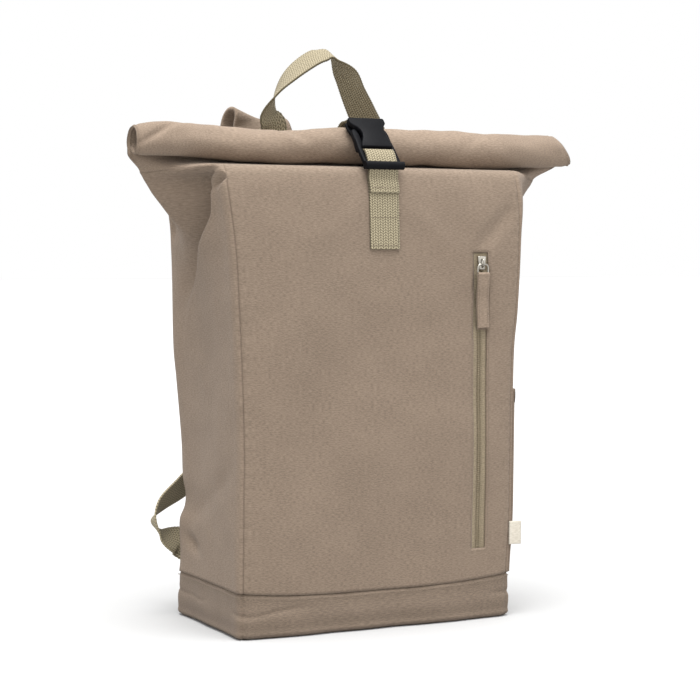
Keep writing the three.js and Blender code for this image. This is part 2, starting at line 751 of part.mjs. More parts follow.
// The socket's outline, half of it: side is a share of half its width, along of its length.
const SOCKET_OUTLINE = [
  { side: 0.9, along: 0.0 },
  { side: 0.98, along: 0.08 },
  { side: 0.96, along: 0.26 },
  { side: 0.82, along: 0.42 },
  { side: 0.84, along: 0.66 },
  { side: 1.0, along: 0.84 },
  { side: 1.0, along: 1.0 },
];

function socketOutline() {
  const half = BUCKLE_WIDTH / 2;
  const right = SOCKET_OUTLINE.map((row) => [row.side * half, buckleTop + row.along * socketLength]);
  const left = right.map(([x, along]) => [-x, along]).reverse();
  return [...right, ...left];
}

const prongRoom = BUCKLE_WIDTH / 2 - BAR;
const slotHalf = WEBBING_WIDTH / 2 + GAP;
const prongStart = buckleTop + socketLength * PRONG_ROOM_FROM;
const socketBarTop = BUCKLE_THICK / 2 - SOCKET_SHELL - 2 * LAYER_GAP - WEBBING_THICK;
const socketBarMiddle = socketBarTop - BAR_THICK / 2;

// The socket: under its shell a bar for the closing strap, a room for the prongs, side windows.
function buckleSocket() {
  const half = BUCKLE_THICK / 2;
  const room = PRONG_THICK / 2 + GAP;
  const wide = BUCKLE_WIDTH;
  const barEnd = buckleTop + BAR;
  const shell = cut(plateOnSlope(socketOutline(), -half, half, SOCKET_BEVEL), [
    buckleBlock(-slotHalf, slotHalf, buckleTop - 1, barEnd + SLOT, -half - 1, half - SOCKET_SHELL),
    buckleBlock(-prongRoom, prongRoom, prongStart, socketMouth + 1, -room, room),
    buckleBlock(-wide, wide, prongStart, buckleTop + socketLength * WINDOW_TO, -room, room),
  ]);
  const barBack = socketBarTop - BAR_THICK;
  const bar = buckleBlock(-slotHalf - 1, slotHalf + 1, buckleTop + 1, barEnd, barBack, socketBarTop);
  return joined([shell, bar]);
}

// The frame: two prongs in the socket, a shoulder, the bar that the anchor goes round and the
// raised bar at its end.
function buckleFrame() {
  const half = BUCKLE_WIDTH / 2;
  const plate = PRONG_THICK / 2;
  const bar = BAR_THICK / 2;
  const prong = prongRoom - GAP;
  const right = [[half, frameStart], [half, buckleBottom]];
  const outline = [...right, [-half, buckleBottom], [-half, frameStart]];
  const shoulderEnd = frameStart + FRAME_SHOULDER;
  return joined([
    cut(plateOnSlope(outline, -plate, plate, 0), [
      buckleBlock(-slotHalf, slotHalf, shoulderEnd, buckleBottom + 1, -plate - 1, plate + 1),
    ]),
    buckleBlock(-half + 1, half - 1, midBar - INNER_BAR / 2, midBar + INNER_BAR / 2, -bar, bar),
    buckleBlock(-half, half, buckleBottom - BAR, buckleBottom, 0, PRONG_THICK),
    buckleBlock(-prong, -prong + BAR, prongStart + 1, shoulderEnd, -plate, plate),
    buckleBlock(prong - BAR, prong, prongStart + 1, shoulderEnd, -plate, plate),
  ]);
}

// Webbing on the panels: the profile of a panel's middle, offset outwards from its cloth.
function panelProfile(isFront, low, high, offset) {
  const rows = heightsBetween(low, high).map((height) => {
    const section = sectionAt(height);
    const depth = HALF_DEPTH * ((isFront ? section.near : section.far) + section.crown);
    return point(STRAP_SHIFT, isFront ? -depth : depth, height);
  });
  return rows.map((at, index) => {
    const ahead = rows[Math.min(index + 1, rows.length - 1)];
    const behind = rows[Math.max(index - 1, 0)];
    const rise = ahead.clone().sub(behind).normalize();
    const outward = isFront ? point(0, -rise.z, rise.y) : point(0, rise.z, -rise.y);
    return at.clone().addScaledVector(outward, offset);
  });
}

// Points round a bar of the buckle: 0 degrees points up the slope, 90 out of it.
function arcPoints(centre, radius, from, to) {
  return Array.from({ length: TURN_STEPS + 1 }, (_, step) => {
    const turn = radians(lerp(from, to, step / TURN_STEPS));
    return centre.clone()
      .addScaledVector(down, -radius * Math.cos(turn))
      .addScaledVector(out, radius * Math.sin(turn));
  });
}

const layerStep = WEBBING_THICK + LAYER_GAP;
const topEdge = sectionHeight(SECTIONS.at(-2));

// The anchor: sewn up the front panel, behind the frame's end bar, round its inner bar, back
// behind the end bar and down over itself to its tail.
function anchorStrap() {
  const first = GAP + WEBBING_THICK / 2;
  const endMiddle = buckleBottom - BAR / 2;
  const line = [
    ...panelProfile(true, ANCHOR_BOTTOM, topEdge, first),
    onBuckle(endMiddle, -first - layerStep),
    onBuckle(midBar + BAR, -innerWrap),
    ...arcPoints(onBuckle(midBar, 0), innerWrap, -90, 90),
    onBuckle(midBar + BAR, innerWrap - LAYER_GAP),
    onBuckle(endMiddle - BAR / 2, -first),
    onBuckle(endMiddle + BAR / 2, -first),
    ...panelProfile(true, ANCHOR_TAIL, topEdge, first + layerStep).reverse(),
  ];
  const stations = line.map((at) => ({ at: at.setX(STRAP_SHIFT), across: point(1, 0, 0) }));
  return bandSolid(stations, WEBBING_WIDTH, WEBBING_THICK);
}

// Where a straight stretch from a point in the plane of depth and height touches the strap's
// turn over the roll, in degrees from the back; side tells which of the two touches is meant.
function touchAngle(from, radius, side) {
  const away = from.clone().sub(strapRoll).setX(0);
  const heading = THREE.MathUtils.radToDeg(Math.atan2(away.z, away.y));
  return heading + side * THREE.MathUtils.radToDeg(Math.acos(radius / away.length()));
}

// The closing strap: sewn on the back panel, taut over the roll and round the socket's bar.
function closureStrap() {
  const rise = panelProfile(false, BACK_TAB_BOTTOM, SEAM_HEIGHT, 2 * GAP + WEBBING_THICK / 2);
  const radius = strapRollRadius + 2 * GAP + WEBBING_THICK / 2;
  const wrap = BAR_THICK / 2 + LAYER_GAP + WEBBING_THICK / 2;
  const entry = onBuckle(buckleTop - WEBBING_THICK, socketBarMiddle - wrap - LAYER_GAP);
  const leaves = touchAngle(rise.at(-1), radius, 1);
  const reaches = Math.max(touchAngle(entry, radius, -1), leaves + 1);
  const over = [0, 0.25, 0.5, 0.75, 1].map((share) => {
    const turn = radians(lerp(leaves, reaches, share));
    return strapRoll.clone().add(point(0, radius * Math.cos(turn), radius * Math.sin(turn)));
  });
  const barMiddle = onBuckle(buckleTop + BAR - BAR_THICK / 4, socketBarMiddle);
  const turnBack = arcPoints(barMiddle, wrap, 270, 90);
  const line = [...rise, ...over, entry, ...turnBack, onBuckle(buckleTop + 1, socketBarMiddle + wrap)];
  const stations = line.map((at) => ({ at: at.setX(STRAP_SHIFT), across: point(1, 0, 0) }));
  return bandSolid(stations, WEBBING_WIDTH, WEBBING_THICK);
}

// The pocket on the right gusset: a sheet that follows it and stands off towards its top.
function sidePocket() {
  const low = BAND_HEIGHT + 2 * GAP;
  const heights = heightsBetween(low, POCKET_TOP);
  const strip = LAYOUT.filter((place) => place.across === 1);
  const lift = (height, index) => {
    const up = (height - low) / (POCKET_TOP - low);
    const side = index / (strip.length - 1);
    const bulge = Math.sqrt(Math.max(Math.sin(Math.PI * side), 0));
    return GAP + POCKET_EASE * bulge * Math.min(up / POCKET_FULL_AT, 1);
  };
  const grid = (extra) => heights.map((height) => strip.map((place, index) => {
    const at = sectionPoint(sectionAt(height), place);
    return point(at.x + lift(height, index) + extra, at.y, height);
  }));
  return sheetSolid(grid(POCKET_CLOTH), grid(0));
}

function sideLabel() {
  const low = LABEL_MIDDLE - LABEL_HEIGHT / 2;
  const section = sectionAt(LABEL_MIDDLE);
  const root = HALF_WIDTH * section.front;
  const depth = -HALF_DEPTH * section.near - GAP - LABEL_THICK;
  const line = [0.1, 0.5, 1].map((share) => (
    point(root + LABEL_REACH * share, depth - LABEL_SWEEP * share, low)
  ));
  const sections = line.map((at) => [
    at.clone(),
    at.clone().add(point(0, LABEL_THICK, 0)),
    at.clone().add(point(0, LABEL_THICK, LABEL_HEIGHT)),
    at.clone().add(point(0, 0, LABEL_HEIGHT)),
  ]);
  return sweptSolid(sections);
}

// The back of the bag: handle, shoulder straps, adjusters and the webbing to the foot

function backY(height) {
  const section = sectionAt(height);
  return HALF_DEPTH * (section.far + section.crown);
}

const handleLap = GAP + WEBBING_THICK / 2;

function carryHandle() {
  const rise = HANDLE_TOP - SEAM_HEIGHT;
  const half = HANDLE_SPAN / 2;
  const seamY = HALF_DEPTH * SECTIONS.at(-1).far;
  const sewn = (side) => panelProfile(false, HANDLE_END, topEdge, handleLap)
    .map((at) => at.setX(side * half + STRAP_SHIFT));
  const arch = HANDLE_LINE.map((row) => point(
    row.across * half + STRAP_SHIFT,
    lerp(seamY + handleLap, HANDLE_FORWARD, row.forward),
    SEAM_HEIGHT + row.rise * rise,
  ));
  const turns = HANDLE_LINE.map((row) => {
    const turn = radians(row.turn);
    return point(-Math.cos(turn), -Math.sin(turn), 0);
  });
  const points = [...sewn(-1), ...arch, ...sewn(1).reverse()];
  const flat = (side) => sewn(side).map(() => point(side, 0, 0));
  const stations = smoothStations(points, [...flat(-1), ...turns, ...flat(1)], HANDLE_STEPS);
  return bandSolid(stations, WEBBING_WIDTH, WEBBING_THICK);
}

function shoulderStrap(side, archHeight) {
  const seamY = HALF_DEPTH * SECTIONS.at(-1).far;
  const foot = lerp(HANDLE_END, SEAM_HEIGHT, SHOULDER_SEWN_FROM);
  const reach = archHeight - SEAM_HEIGHT;
  const at = (row, height) => point(
    side * SHOULDER_SHIFT * row.outward,
    seamY + SHOULDER_STANDOFF * row.behind + SHOULDER_THICK,
    height,
  );
  const over = 4 * GAP + WEBBING_THICK + SHOULDER_THICK / 2;
  const sewn = panelProfile(false, foot, topEdge, over).map((place) => place.setX(side * SHOULDER_SHIFT));
  const fall = SEAM_HEIGHT - SHOULDER_END;
  const back = point(0, HALF_DEPTH - seamY, 0);
  const line = [
    ...sewn,
    ...SHOULDER_LINE.map((row) => at(row, SEAM_HEIGHT + row.arch * reach)),
    ...SHOULDER_FALL.map((row) => at(row, SEAM_HEIGHT - row.down * fall).add(back)),
  ];
  const across = line.map(() => point(1, 0, 0));
  return bandSolid(smoothStations(line, across, SHOULDER_STEPS), SHOULDER_WIDTH, SHOULDER_THICK);
}

function strapEnd(side) {
  const last = SHOULDER_FALL.at(-1);
  const y = HALF_DEPTH + SHOULDER_STANDOFF * last.behind + SHOULDER_THICK;
  return point(side * SHOULDER_SHIFT * last.outward, y, SHOULDER_END);
}

function adjuster(side) {
  const top = strapEnd(side).add(point(0, 0, -SHOULDER_THICK / 2));
  const half = ADJUSTER_WIDTH / 2;
  const thick = ADJUSTER_THICK / 2;
  const slot = WEBBING_WIDTH / 2 + GAP;
  const plate = boxBetween(
    point(top.x - half, top.y - thick, top.z - ADJUSTER_LENGTH),
    point(top.x + half, top.y + thick, top.z),
  );
  const slots = ADJUSTER_SLOTS.map((share) => boxBetween(
    point(top.x - slot, top.y - 2 * thick, top.z - ADJUSTER_LENGTH * (share + ADJUSTER_SLOT)),
    point(top.x + slot, top.y + 2 * thick, top.z - ADJUSTER_LENGTH * share),
  ));
  return cut(plate, slots);
}

function lowerWebbing(side) {
  const edge = SHOULDER_END - SHOULDER_THICK / 2 - ADJUSTER_LENGTH;
  const start = strapEnd(side).setZ(edge - WEBBING_THICK);
  const line = WEBBING_LINE.map((row) => point(
    side * HALF_WIDTH * row.out,
    HALF_DEPTH + SHOULDER_THICK + SHOULDER_STANDOFF * row.behind,
    edge * row.height,
  ));
  const across = WEBBING_LINE.map((row) => point(side * row.lean, row.edge, row.turned));
  const footY = backY(WEBBING_FOOT) + 2 * GAP + WEBBING_THICK / 2;
  const foot = point(side * HALF_WIDTH * WEBBING_FOOT_OUT, footY, WEBBING_FOOT);
  const straight = start.clone().setZ(start.z - WEBBING_WIDTH / 3);
  const landing = foot.clone().add(point((side * WEBBING_WIDTH) / 3, GAP, GAP));
  const points = [start, straight, ...line, landing, foot];
  const widths = [point(side, 0, 0), point(side, 0, 0), ...across, point(0, 0, 1), point(0, 0, 1)];
  return bandSolid(smoothStations(points, widths, WEBBING_STEPS), WEBBING_WIDTH, WEBBING_THICK);
}

addPiece("base_band", baseBand(), palette.canvas);
addPiece("bag_body", bagBody(), palette.canvas);
addPiece("rolled_collar", rolledCollar(), palette.canvas);
addPiece("zip_tape", zipTape(), palette.zip);
addPiece("zip_coil", zipCoil(), palette.zip);
addPiece("zip_slider", zipSlider(), palette.nickel);
addPiece("pull_link", pullLink(), palette.nickel);
addPiece("pull_tab", pullTab(), palette.canvas);
addPiece("anchor_strap", anchorStrap(), palette.webbing);
addPiece("closure_strap", closureStrap(), palette.webbing);
addPiece("buckle_socket", buckleSocket(), palette.plastic);
addPiece("buckle_frame", buckleFrame(), palette.plastic);
addPiece("side_pocket", sidePocket(), palette.canvas);
addPiece("side_label", sideLabel(), palette.label);
addPiece("carry_handle", carryHandle(), palette.webbing);

const sides = [["left", -1, SHOULDER_ARCH_LEFT], ["right", 1, SHOULDER_ARCH_RIGHT]];
for (const [word, side, arch] of sides) {
  addPiece(`shoulder_strap_${word}`, shoulderStrap(side, arch), palette.canvas);
  addPiece(`adjuster_${word}`, adjuster(side), palette.plastic);
  addPiece(`lower_webbing_${word}`, lowerWebbing(side), palette.webbing);
}

export default bag;
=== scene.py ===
"""A rolltop backpack in plain taupe canvas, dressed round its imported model.

Lengths in the tables and dataclass fields are millimetres; meshes are metres. +Z is up, the
front faces -Y and the origin is the middle of the bag's foot on the ground.
"""

import logging
import math
from dataclasses import dataclass, field
from enum import Enum
from typing import Callable, Sequence, TypeVar

import bmesh
import bpy
from mathutils import Matrix, Vector, noise


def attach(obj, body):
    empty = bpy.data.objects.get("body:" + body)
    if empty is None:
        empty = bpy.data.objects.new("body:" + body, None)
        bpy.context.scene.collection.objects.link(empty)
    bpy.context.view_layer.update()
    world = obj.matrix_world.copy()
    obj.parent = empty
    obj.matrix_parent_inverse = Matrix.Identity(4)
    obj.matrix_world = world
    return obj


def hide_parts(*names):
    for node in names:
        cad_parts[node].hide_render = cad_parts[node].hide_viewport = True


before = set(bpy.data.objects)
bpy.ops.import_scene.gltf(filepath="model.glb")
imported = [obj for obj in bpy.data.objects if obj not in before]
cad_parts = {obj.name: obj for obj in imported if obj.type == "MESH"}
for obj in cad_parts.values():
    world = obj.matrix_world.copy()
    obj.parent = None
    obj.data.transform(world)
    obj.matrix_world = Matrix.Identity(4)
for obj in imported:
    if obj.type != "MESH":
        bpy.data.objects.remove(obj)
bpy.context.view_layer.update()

log = logging.getLogger("backpack")
MM = 0.001
WEBBING_WIDTH = 30.0
WEBBING_THICK = 1.8
Place = Callable[[float, float], Vector]
Amount = TypeVar("Amount", float, Vector)
UP = Vector((0, 0, 1))
RIGHT = Vector((1, 0, 0))
FORWARD = Vector((0, -1, 0))


class Side(Enum):
    """The two sides of the bag, seen from its front."""

    LEFT = -1
    RIGHT = 1


class Spacing(Enum):
    """How the columns of a cloth lie: evenly, or closer together at both edges."""

    EVEN = "even"
    EDGES = "edges"


def lerp(start: float, end: float, share: float) -> float:
    """A value between two others."""
    return start + (end - start) * share


def ease(value: float, low: float = 0.0, high: float = 1.0) -> float:
    """A smooth step from 0 at low to 1 at high."""
    share = min(max((value - low) / (high - low), 0.0), 1.0)
    return share * share * (3 - 2 * share)


def hump(value: float, centre: float, width: float) -> float:
    """A round hump of height 1 at centre, as wide as width on each side."""
    return math.exp(-(((value - centre) / width) ** 2))


def hermite(start: Amount, enters: Amount, end: Amount, leaves: Amount, share: float) -> Amount:
    """A smooth curve from start to end, with its slopes at both.

    Args:
        start: the value at the start.
        enters: the slope at the start.
        end: the value at the end.
        leaves: the slope at the end.
        share: how far along, 0 to 1.

    Returns:
        The value there.
    """
    square, cube = share**2, share**3
    return (
        start * (2 * cube - 3 * square + 1)
        + enters * (cube - 2 * square + share)
        + end * (3 * square - 2 * cube)
        + leaves * (cube - square)
    )


@dataclass(frozen=True)
class Track:
    """Rows of a place and its values, joined by smooth curves."""

    rows: tuple[tuple[float, ...], ...]

    def at(self, place: float) -> tuple[float, ...]:
        """The values at a place.

        Args:
            place: where to read the curves, held inside the first and last row.

        Returns:
            One value for each column after the first.
        """
        rows = self.rows
        if place <= rows[0][0]:
            return rows[0][1:]
        if place >= rows[-1][0]:
            return rows[-1][1:]
        index = next(i for i in range(len(rows) - 1) if place <= rows[i + 1][0])
        low, high = rows[index], rows[index + 1]
        before, after = rows[max(index - 1, 0)], rows[min(index + 2, len(rows) - 1)]
        span = high[0] - low[0]
        share = (place - low[0]) / span
        values = []
        for column in range(1, len(low)):
            enters = (high[column] - before[column]) / (high[0] - before[0]) * span
            leaves = (after[column] - low[column]) / (after[0] - low[0]) * span
            values.append(hermite(low[column], enters, high[column], leaves, share))
        return tuple(values)


# Node trees -----------------------------------------------------------------------------------


class Graph:
    """Short words for building a node tree."""

    def __init__(self, tree: bpy.types.NodeTree) -> None:
        """Keeps the tree that the nodes go into."""
        self.tree = tree

    def add(self, kind: str, inputs: dict | None = None, **settings: object) -> bpy.types.Node:
        """Adds a node.

        Args:
            kind: the node's type name.
            inputs: values or sockets for its inputs, by name or number.
            **settings: the node's own properties.

        Returns:
            The new node.
        """
        node = self.tree.nodes.new(kind)
        for name, value in settings.items():
            setattr(node, name, value)
        for key, value in (inputs or {}).items():
            socket = node.inputs[key]
            if isinstance(value, bpy.types.NodeSocket):
                self.tree.links.new(value, socket)
            else:
                socket.default_value = value
        return node

    def math(self, operation: str, *values: object) -> bpy.types.NodeSocket:
        """The result of a Math node on up to three values or sockets."""
        return self.add("ShaderNodeMath", dict(enumerate(values)), operation=operation).outputs[0]

    def mix(self, share: object, first: object, second: object) -> bpy.types.NodeSocket:
        """A colour between two, each a socket or four numbers."""
        node = self.add("ShaderNodeMix", {0: share, 6: first, 7: second}, data_type="RGBA")
        return node.outputs[2]

    def noise(self, vector: object, scale: float, detail: float = 2.0) -> bpy.types.NodeSocket:
        """The value of a Noise node."""
        inputs = {"Vector": vector, "Scale": scale, "Detail": detail}
        return self.add("ShaderNodeTexNoise", inputs).outputs[0]

    def stretched(self, vector: object, scale: Sequence[float]) -> bpy.types.NodeSocket:
        """A vector with each axis scaled on its own."""
        return self.add("ShaderNodeMapping", {"Vector": vector, "Scale": scale}).outputs[0]

    def span(self, value: object, low: float, high: float, out_low: float = 0.0,
             out_high: float = 1.0) -> bpy.types.NodeSocket:
        """A value moved from one range into another, and held inside it."""
        inputs = {0: value, 1: low, 2: high, 3: out_low, 4: out_high}
        return self.add("ShaderNodeMapRange", inputs).outputs[0]


def shader_group(name: str, inputs: dict[str, str], outputs: dict[str, str],
                 fill: Callable[[Graph, bpy.types.Node], dict]) -> bpy.types.NodeTree:
    """Builds a shader node group with named sockets.

    Args:
        name: the group's name.
        inputs: socket types by name.
        outputs: socket types by name.
        fill: adds the group's nodes and gives the socket for each output.

    Returns:
        The group.
    """
    tree = bpy.data.node_groups.new(name, "ShaderNodeTree")
    for key, kind in inputs.items():
        tree.interface.new_socket(key, in_out="INPUT", socket_type=kind)
    for key, kind in outputs.items():
        tree.interface.new_socket(key, in_out="OUTPUT", socket_type=kind)
    graph = Graph(tree)
    entry = graph.add("NodeGroupInput")
    graph.add("NodeGroupOutput", fill(graph, entry))
    return tree


VALUE, VECTOR = "NodeSocketFloat", "NodeSocketVector"


def plain_weave(graph: Graph, entry: bpy.types.Node) -> dict:
    """Threads over and under each other, with slubs along the weft and a mottled dye.

    Args:
        graph: where the nodes go.
        entry: the group's input node.

    Returns:
        The socket for each output.
    """
    vector, count = entry.outputs["Vector"], entry.outputs["Threads"]
    parts = graph.add("ShaderNodeSeparateXYZ", {0: vector}).outputs
    warp = graph.math("MULTIPLY", parts[0], count)
    weft = graph.math("MULTIPLY", parts[1], count)
    waves = [graph.math("SINE", graph.math("MULTIPLY", place, math.pi)) for place in (warp, weft)]
    over = graph.math("MULTIPLY", waves[0], waves[1])
    slub = graph.noise(graph.stretched(vector, (300, 1150, 1)), 1.0, 3.0)
    drift = graph.noise(graph.stretched(vector, (22, 34, 1)), 1.0, 3.0)
    fleck = graph.noise(graph.stretched(vector, (700, 1500, 1)), 1.0, 1.0)
    height = graph.math("MULTIPLY_ADD", over, 0.5, graph.math("MULTIPLY", slub, 1.1))
    tone = graph.math("MULTIPLY_ADD", slub, 0.82, graph.math("MULTIPLY", drift, 0.18))
    return {"Height": height, "Tone": tone, "Fleck": fleck}


def ribbed_weave(graph: Graph, entry: bpy.types.Node) -> dict:
    """Coarse slanted stitches in columns that lean to and fro, as webbing has, with their low parts
    painted darker as shade.

    Args:
        graph: where the nodes go.
        entry: the group's input node.

    Returns:
        The socket for each output.
    """
    parts = graph.add("ShaderNodeSeparateXYZ", {0: entry.outputs["Vector"]}).outputs
    column = graph.math("DIVIDE", parts[0], entry.outputs["Column"])
    inside = graph.math("FRACT", column)
    way = graph.math("SIGN", graph.math("SINE", graph.math("MULTIPLY", column, math.pi)))
    lean = graph.math("MULTIPLY", graph.math("SUBTRACT", inside, 0.5), way)
    row = graph.math("DIVIDE", parts[1], entry.outputs["Row"])
    slant = graph.math("MULTIPLY", graph.math("MULTIPLY_ADD", lean, 0.9, row), math.pi)
    stitch = graph.math("ABSOLUTE", graph.math("SINE", slant))
    rib = graph.math("SINE", graph.math("MULTIPLY", inside, math.pi))
    height = graph.math("MULTIPLY", graph.math("POWER", stitch, 0.7), graph.math("POWER", rib, 0.5))
    fuzz = graph.noise(graph.stretched(entry.outputs["Vector"], (900, 900, 1)), 1.0, 2.0)
    # Tone is the stitch height, so the low parts of the weave are painted darker as shade
    return {"Height": graph.math("MULTIPLY_ADD", fuzz, 0.25, height), "Tone": height, "Fleck": fuzz}


def handled_surface(graph: Graph, entry: bpy.types.Node) -> dict:
    """Fine moulding grain, with faint smears and scratches from handling.

    Args:
        graph: where the nodes go.
        entry: the group's input node.

    Returns:
        The socket for each output.
    """
    vector = entry.outputs["Vector"]
    grain = graph.noise(vector, 1500.0, 2.0)
    smear = graph.noise(vector, 60.0, 3.0)
    scratch = graph.noise(graph.stretched(vector, (2500, 90, 400)), 1.0, 2.0)
    wear = graph.span(graph.math("MULTIPLY", smear, scratch), 0.26, 0.42)
    return {"Height": grain, "Smear": smear, "Wear": wear}


class Groups:
    """The shader groups that the finishes share, each built once."""

    def __init__(self) -> None:
        """Builds the three groups."""
        woven = {"Height": VALUE, "Tone": VALUE, "Fleck": VALUE}
        self.plain = shader_group(
            "plain_weave", {"Vector": VECTOR, "Threads": VALUE}, woven, plain_weave
        )
        self.ribbed = shader_group(
            "ribbed_weave", {"Vector": VECTOR, "Column": VALUE, "Row": VALUE}, woven, ribbed_weave
        )
        self.handled = shader_group(
            "handled_surface", {"Vector": VECTOR}, {"Height": VALUE, "Smear": VALUE, "Wear": VALUE},
            handled_surface,
        )


@dataclass(frozen=True)
class Finish:
    """What every finish has: a name, a slot, two tones and a roughness."""

    name: str
    slot: str
    light: tuple[float, float, float]
    dark: tuple[float, float, float]
    roughness: float

    def start(self) -> tuple[bpy.types.Material, Graph, bpy.types.Node]:
        """A new material with its graph and its shader.

        Returns:
            The material, its graph and its shader.
        """
        material = bpy.data.materials.new(self.name)
        material.use_nodes = True
        shader = material.node_tree.nodes["Principled BSDF"]
        shader.inputs["Roughness"].default_value = self.roughness
        return material, Graph(material.node_tree), shader

    def relief(self, graph: Graph, shader: bpy.types.Node, height: object, depth: float) -> None:
        """Feeds a height, in metres times depth, to the shader's normal.

        Args:
            graph: the material's nodes.
            shader: the material's shader.
            height: the relief's height.
            depth: its depth, in metres.
        """
        inputs = {"Height": height, "Distance": depth, "Strength": 1.0}
        bump = graph.add("ShaderNodeBump", inputs)
        graph.tree.links.new(bump.outputs[0], shader.inputs["Normal"])


@dataclass(frozen=True)
class ClothFinish(Finish):
    """Woven cloth on a piece's own UV map: plain canvas, or coarse webbing."""

    threads: float = 1400.0
    column: float = 0.0
    row: float = 0.0
    depth: float = 0.0002
    sheen: float = 0.05
    flecks: float = 0.35

    def material(self, groups: Groups) -> bpy.types.Material:
        """Builds the material.

        Args:
            groups: the shared shader groups.

        Returns:
            The finished material.
        """
        material, graph, shader = self.start()
        vector = graph.add("ShaderNodeUVMap", uv_map="weave").outputs[0]
        inputs: dict = {"Vector": vector}
        # for webbing the colour follows the weave's height: its low parts get the dark tone,
        # painted shade
        if self.column:
            tree, tones = groups.ribbed, (0.15, 0.7)
            inputs |= {"Column": self.column, "Row": self.row}
        else:
            tree, tones = groups.plain, (0.39, 0.61)
            inputs["Threads"] = self.threads
        weave = graph.add("ShaderNodeGroup", inputs, node_tree=tree)
        tone = graph.span(weave.outputs["Tone"], *tones)
        colour = graph.mix(tone, (*self.dark, 1), (*self.light, 1))
        fleck = graph.span(weave.outputs["Fleck"], 0.6, 0.78, 0.0, self.flecks)
        paler = tuple(min(channel * 1.35, 1.0) for channel in self.light)
        colour = graph.mix(fleck, colour, (*paler, 1))
        graph.tree.links.new(colour, shader.inputs["Base Color"])
        shader.inputs["Sheen Weight"].default_value = self.sheen
        shader.inputs["Sheen Roughness"].default_value = 0.6
        shader.inputs["Specular IOR Level"].default_value = 0.2
        self.relief(graph, shader, weave.outputs["Height"], self.depth)
        return material


@dataclass(frozen=True)
class HardFinish(Finish):
    """Moulded plastic or plated metal on Object coordinates."""

    metallic: float = 0.0
    depth: float = 0.00003

    def material(self, groups: Groups) -> bpy.types.Material:
        """Builds the material.

        Args:
            groups: the shared shader groups.

        Returns:
            The finished material.
        """
        material, graph, shader = self.start()
        vector = graph.add("ShaderNodeTexCoord").outputs["Object"]
        handled = graph.add("ShaderNodeGroup", {"Vector": vector}, node_tree=groups.handled)
        colour = graph.mix(handled.outputs["Wear"], (*self.dark, 1), (*self.light, 1))
        graph.tree.links.new(colour, shader.inputs["Base Color"])
        spread = (self.roughness - 0.06, self.roughness + 0.08)
        rough = graph.span(handled.outputs["Smear"], 0.3, 0.7, *spread)
        graph.tree.links.new(rough, shader.inputs["Roughness"])
        shader.inputs["Metallic"].default_value = self.metallic
        shader.inputs["Specular IOR Level"].default_value = 0.06
        self.relief(graph, shader, handled.outputs["Height"], self.depth)
        return material


FINISHES: tuple[Finish, ...] = (
    ClothFinish("canvas_cloth", "canvas", (0.200, 0.151, 0.112), (0.140, 0.105, 0.077), 0.93),
    # painted light: a lighter copy of the canvas for the rolled neck and the pull tab, standing in
    # for the light that they catch
    ClothFinish("canvas_painted_light", "canvas", (0.236, 0.178, 0.132), (0.165, 0.124, 0.091), 0.93),
    # painted shade: a darker copy of the canvas for the foot band, standing in for the shade round
    # the bag's foot
    ClothFinish("canvas_painted_shade", "canvas", (0.166, 0.125, 0.093), (0.116, 0.087, 0.064), 0.93),
    # the webbing's dark tone is painted shade in the low parts of its weave
    ClothFinish("webbing_cloth", "webbing", (0.31, 0.267, 0.178), (0.086, 0.07, 0.04), 0.88,
                column=0.0026, row=0.0024, depth=0.0006, flecks=0.2),
    ClothFinish("zip_tape_cloth", "zip", (0.27, 0.22, 0.15), (0.19, 0.152, 0.1), 0.85,
                threads=2600.0),
    ClothFinish("label_cloth", "label", (0.56, 0.52, 0.45), (0.44, 0.40, 0.33), 0.9,
                threads=2600.0),
    ClothFinish("canvas_inside", "canvas", (0.17, 0.13, 0.095), (0.13, 0.1, 0.07), 0.95,
                flecks=0.1),
    ClothFinish("sewing_thread", "canvas", (0.18, 0.137, 0.101), (0.13, 0.099, 0.073), 0.75,
                threads=3000.0, flecks=0.0),
    HardFinish("moulded_black", "plastic", (0.006, 0.0063, 0.0074), (0.003, 0.0031, 0.004), 0.5),
    HardFinish("nickel_plate", "nickel", (0.22, 0.205, 0.18), (0.36, 0.34, 0.30), 0.3,
               metallic=1.0),
    HardFinish("zip_coil_plastic", "zip", (0.27, 0.225, 0.155), (0.21, 0.172, 0.115), 0.5),
)


def add_object(name: str, data: bpy.types.ID) -> bpy.types.Object:
    """A new object in the scene.

    Args:
        name: its name.
        data: what it shows.

    Returns:
        The object.
    """
    made = bpy.data.objects.new(name, data)
    bpy.context.scene.collection.objects.link(made)
    return made


def add_mesh_object(name: str, mesh: bmesh.types.BMesh) -> bpy.types.Object:
    """A new object from a mesh, which is freed.

    Args:
        name: its name.
        mesh: its shape, in metres.

    Returns:
        The object.
    """
    data = bpy.data.meshes.new(name)
    mesh.to_mesh(data)
    mesh.free()
    return add_object(name, data)


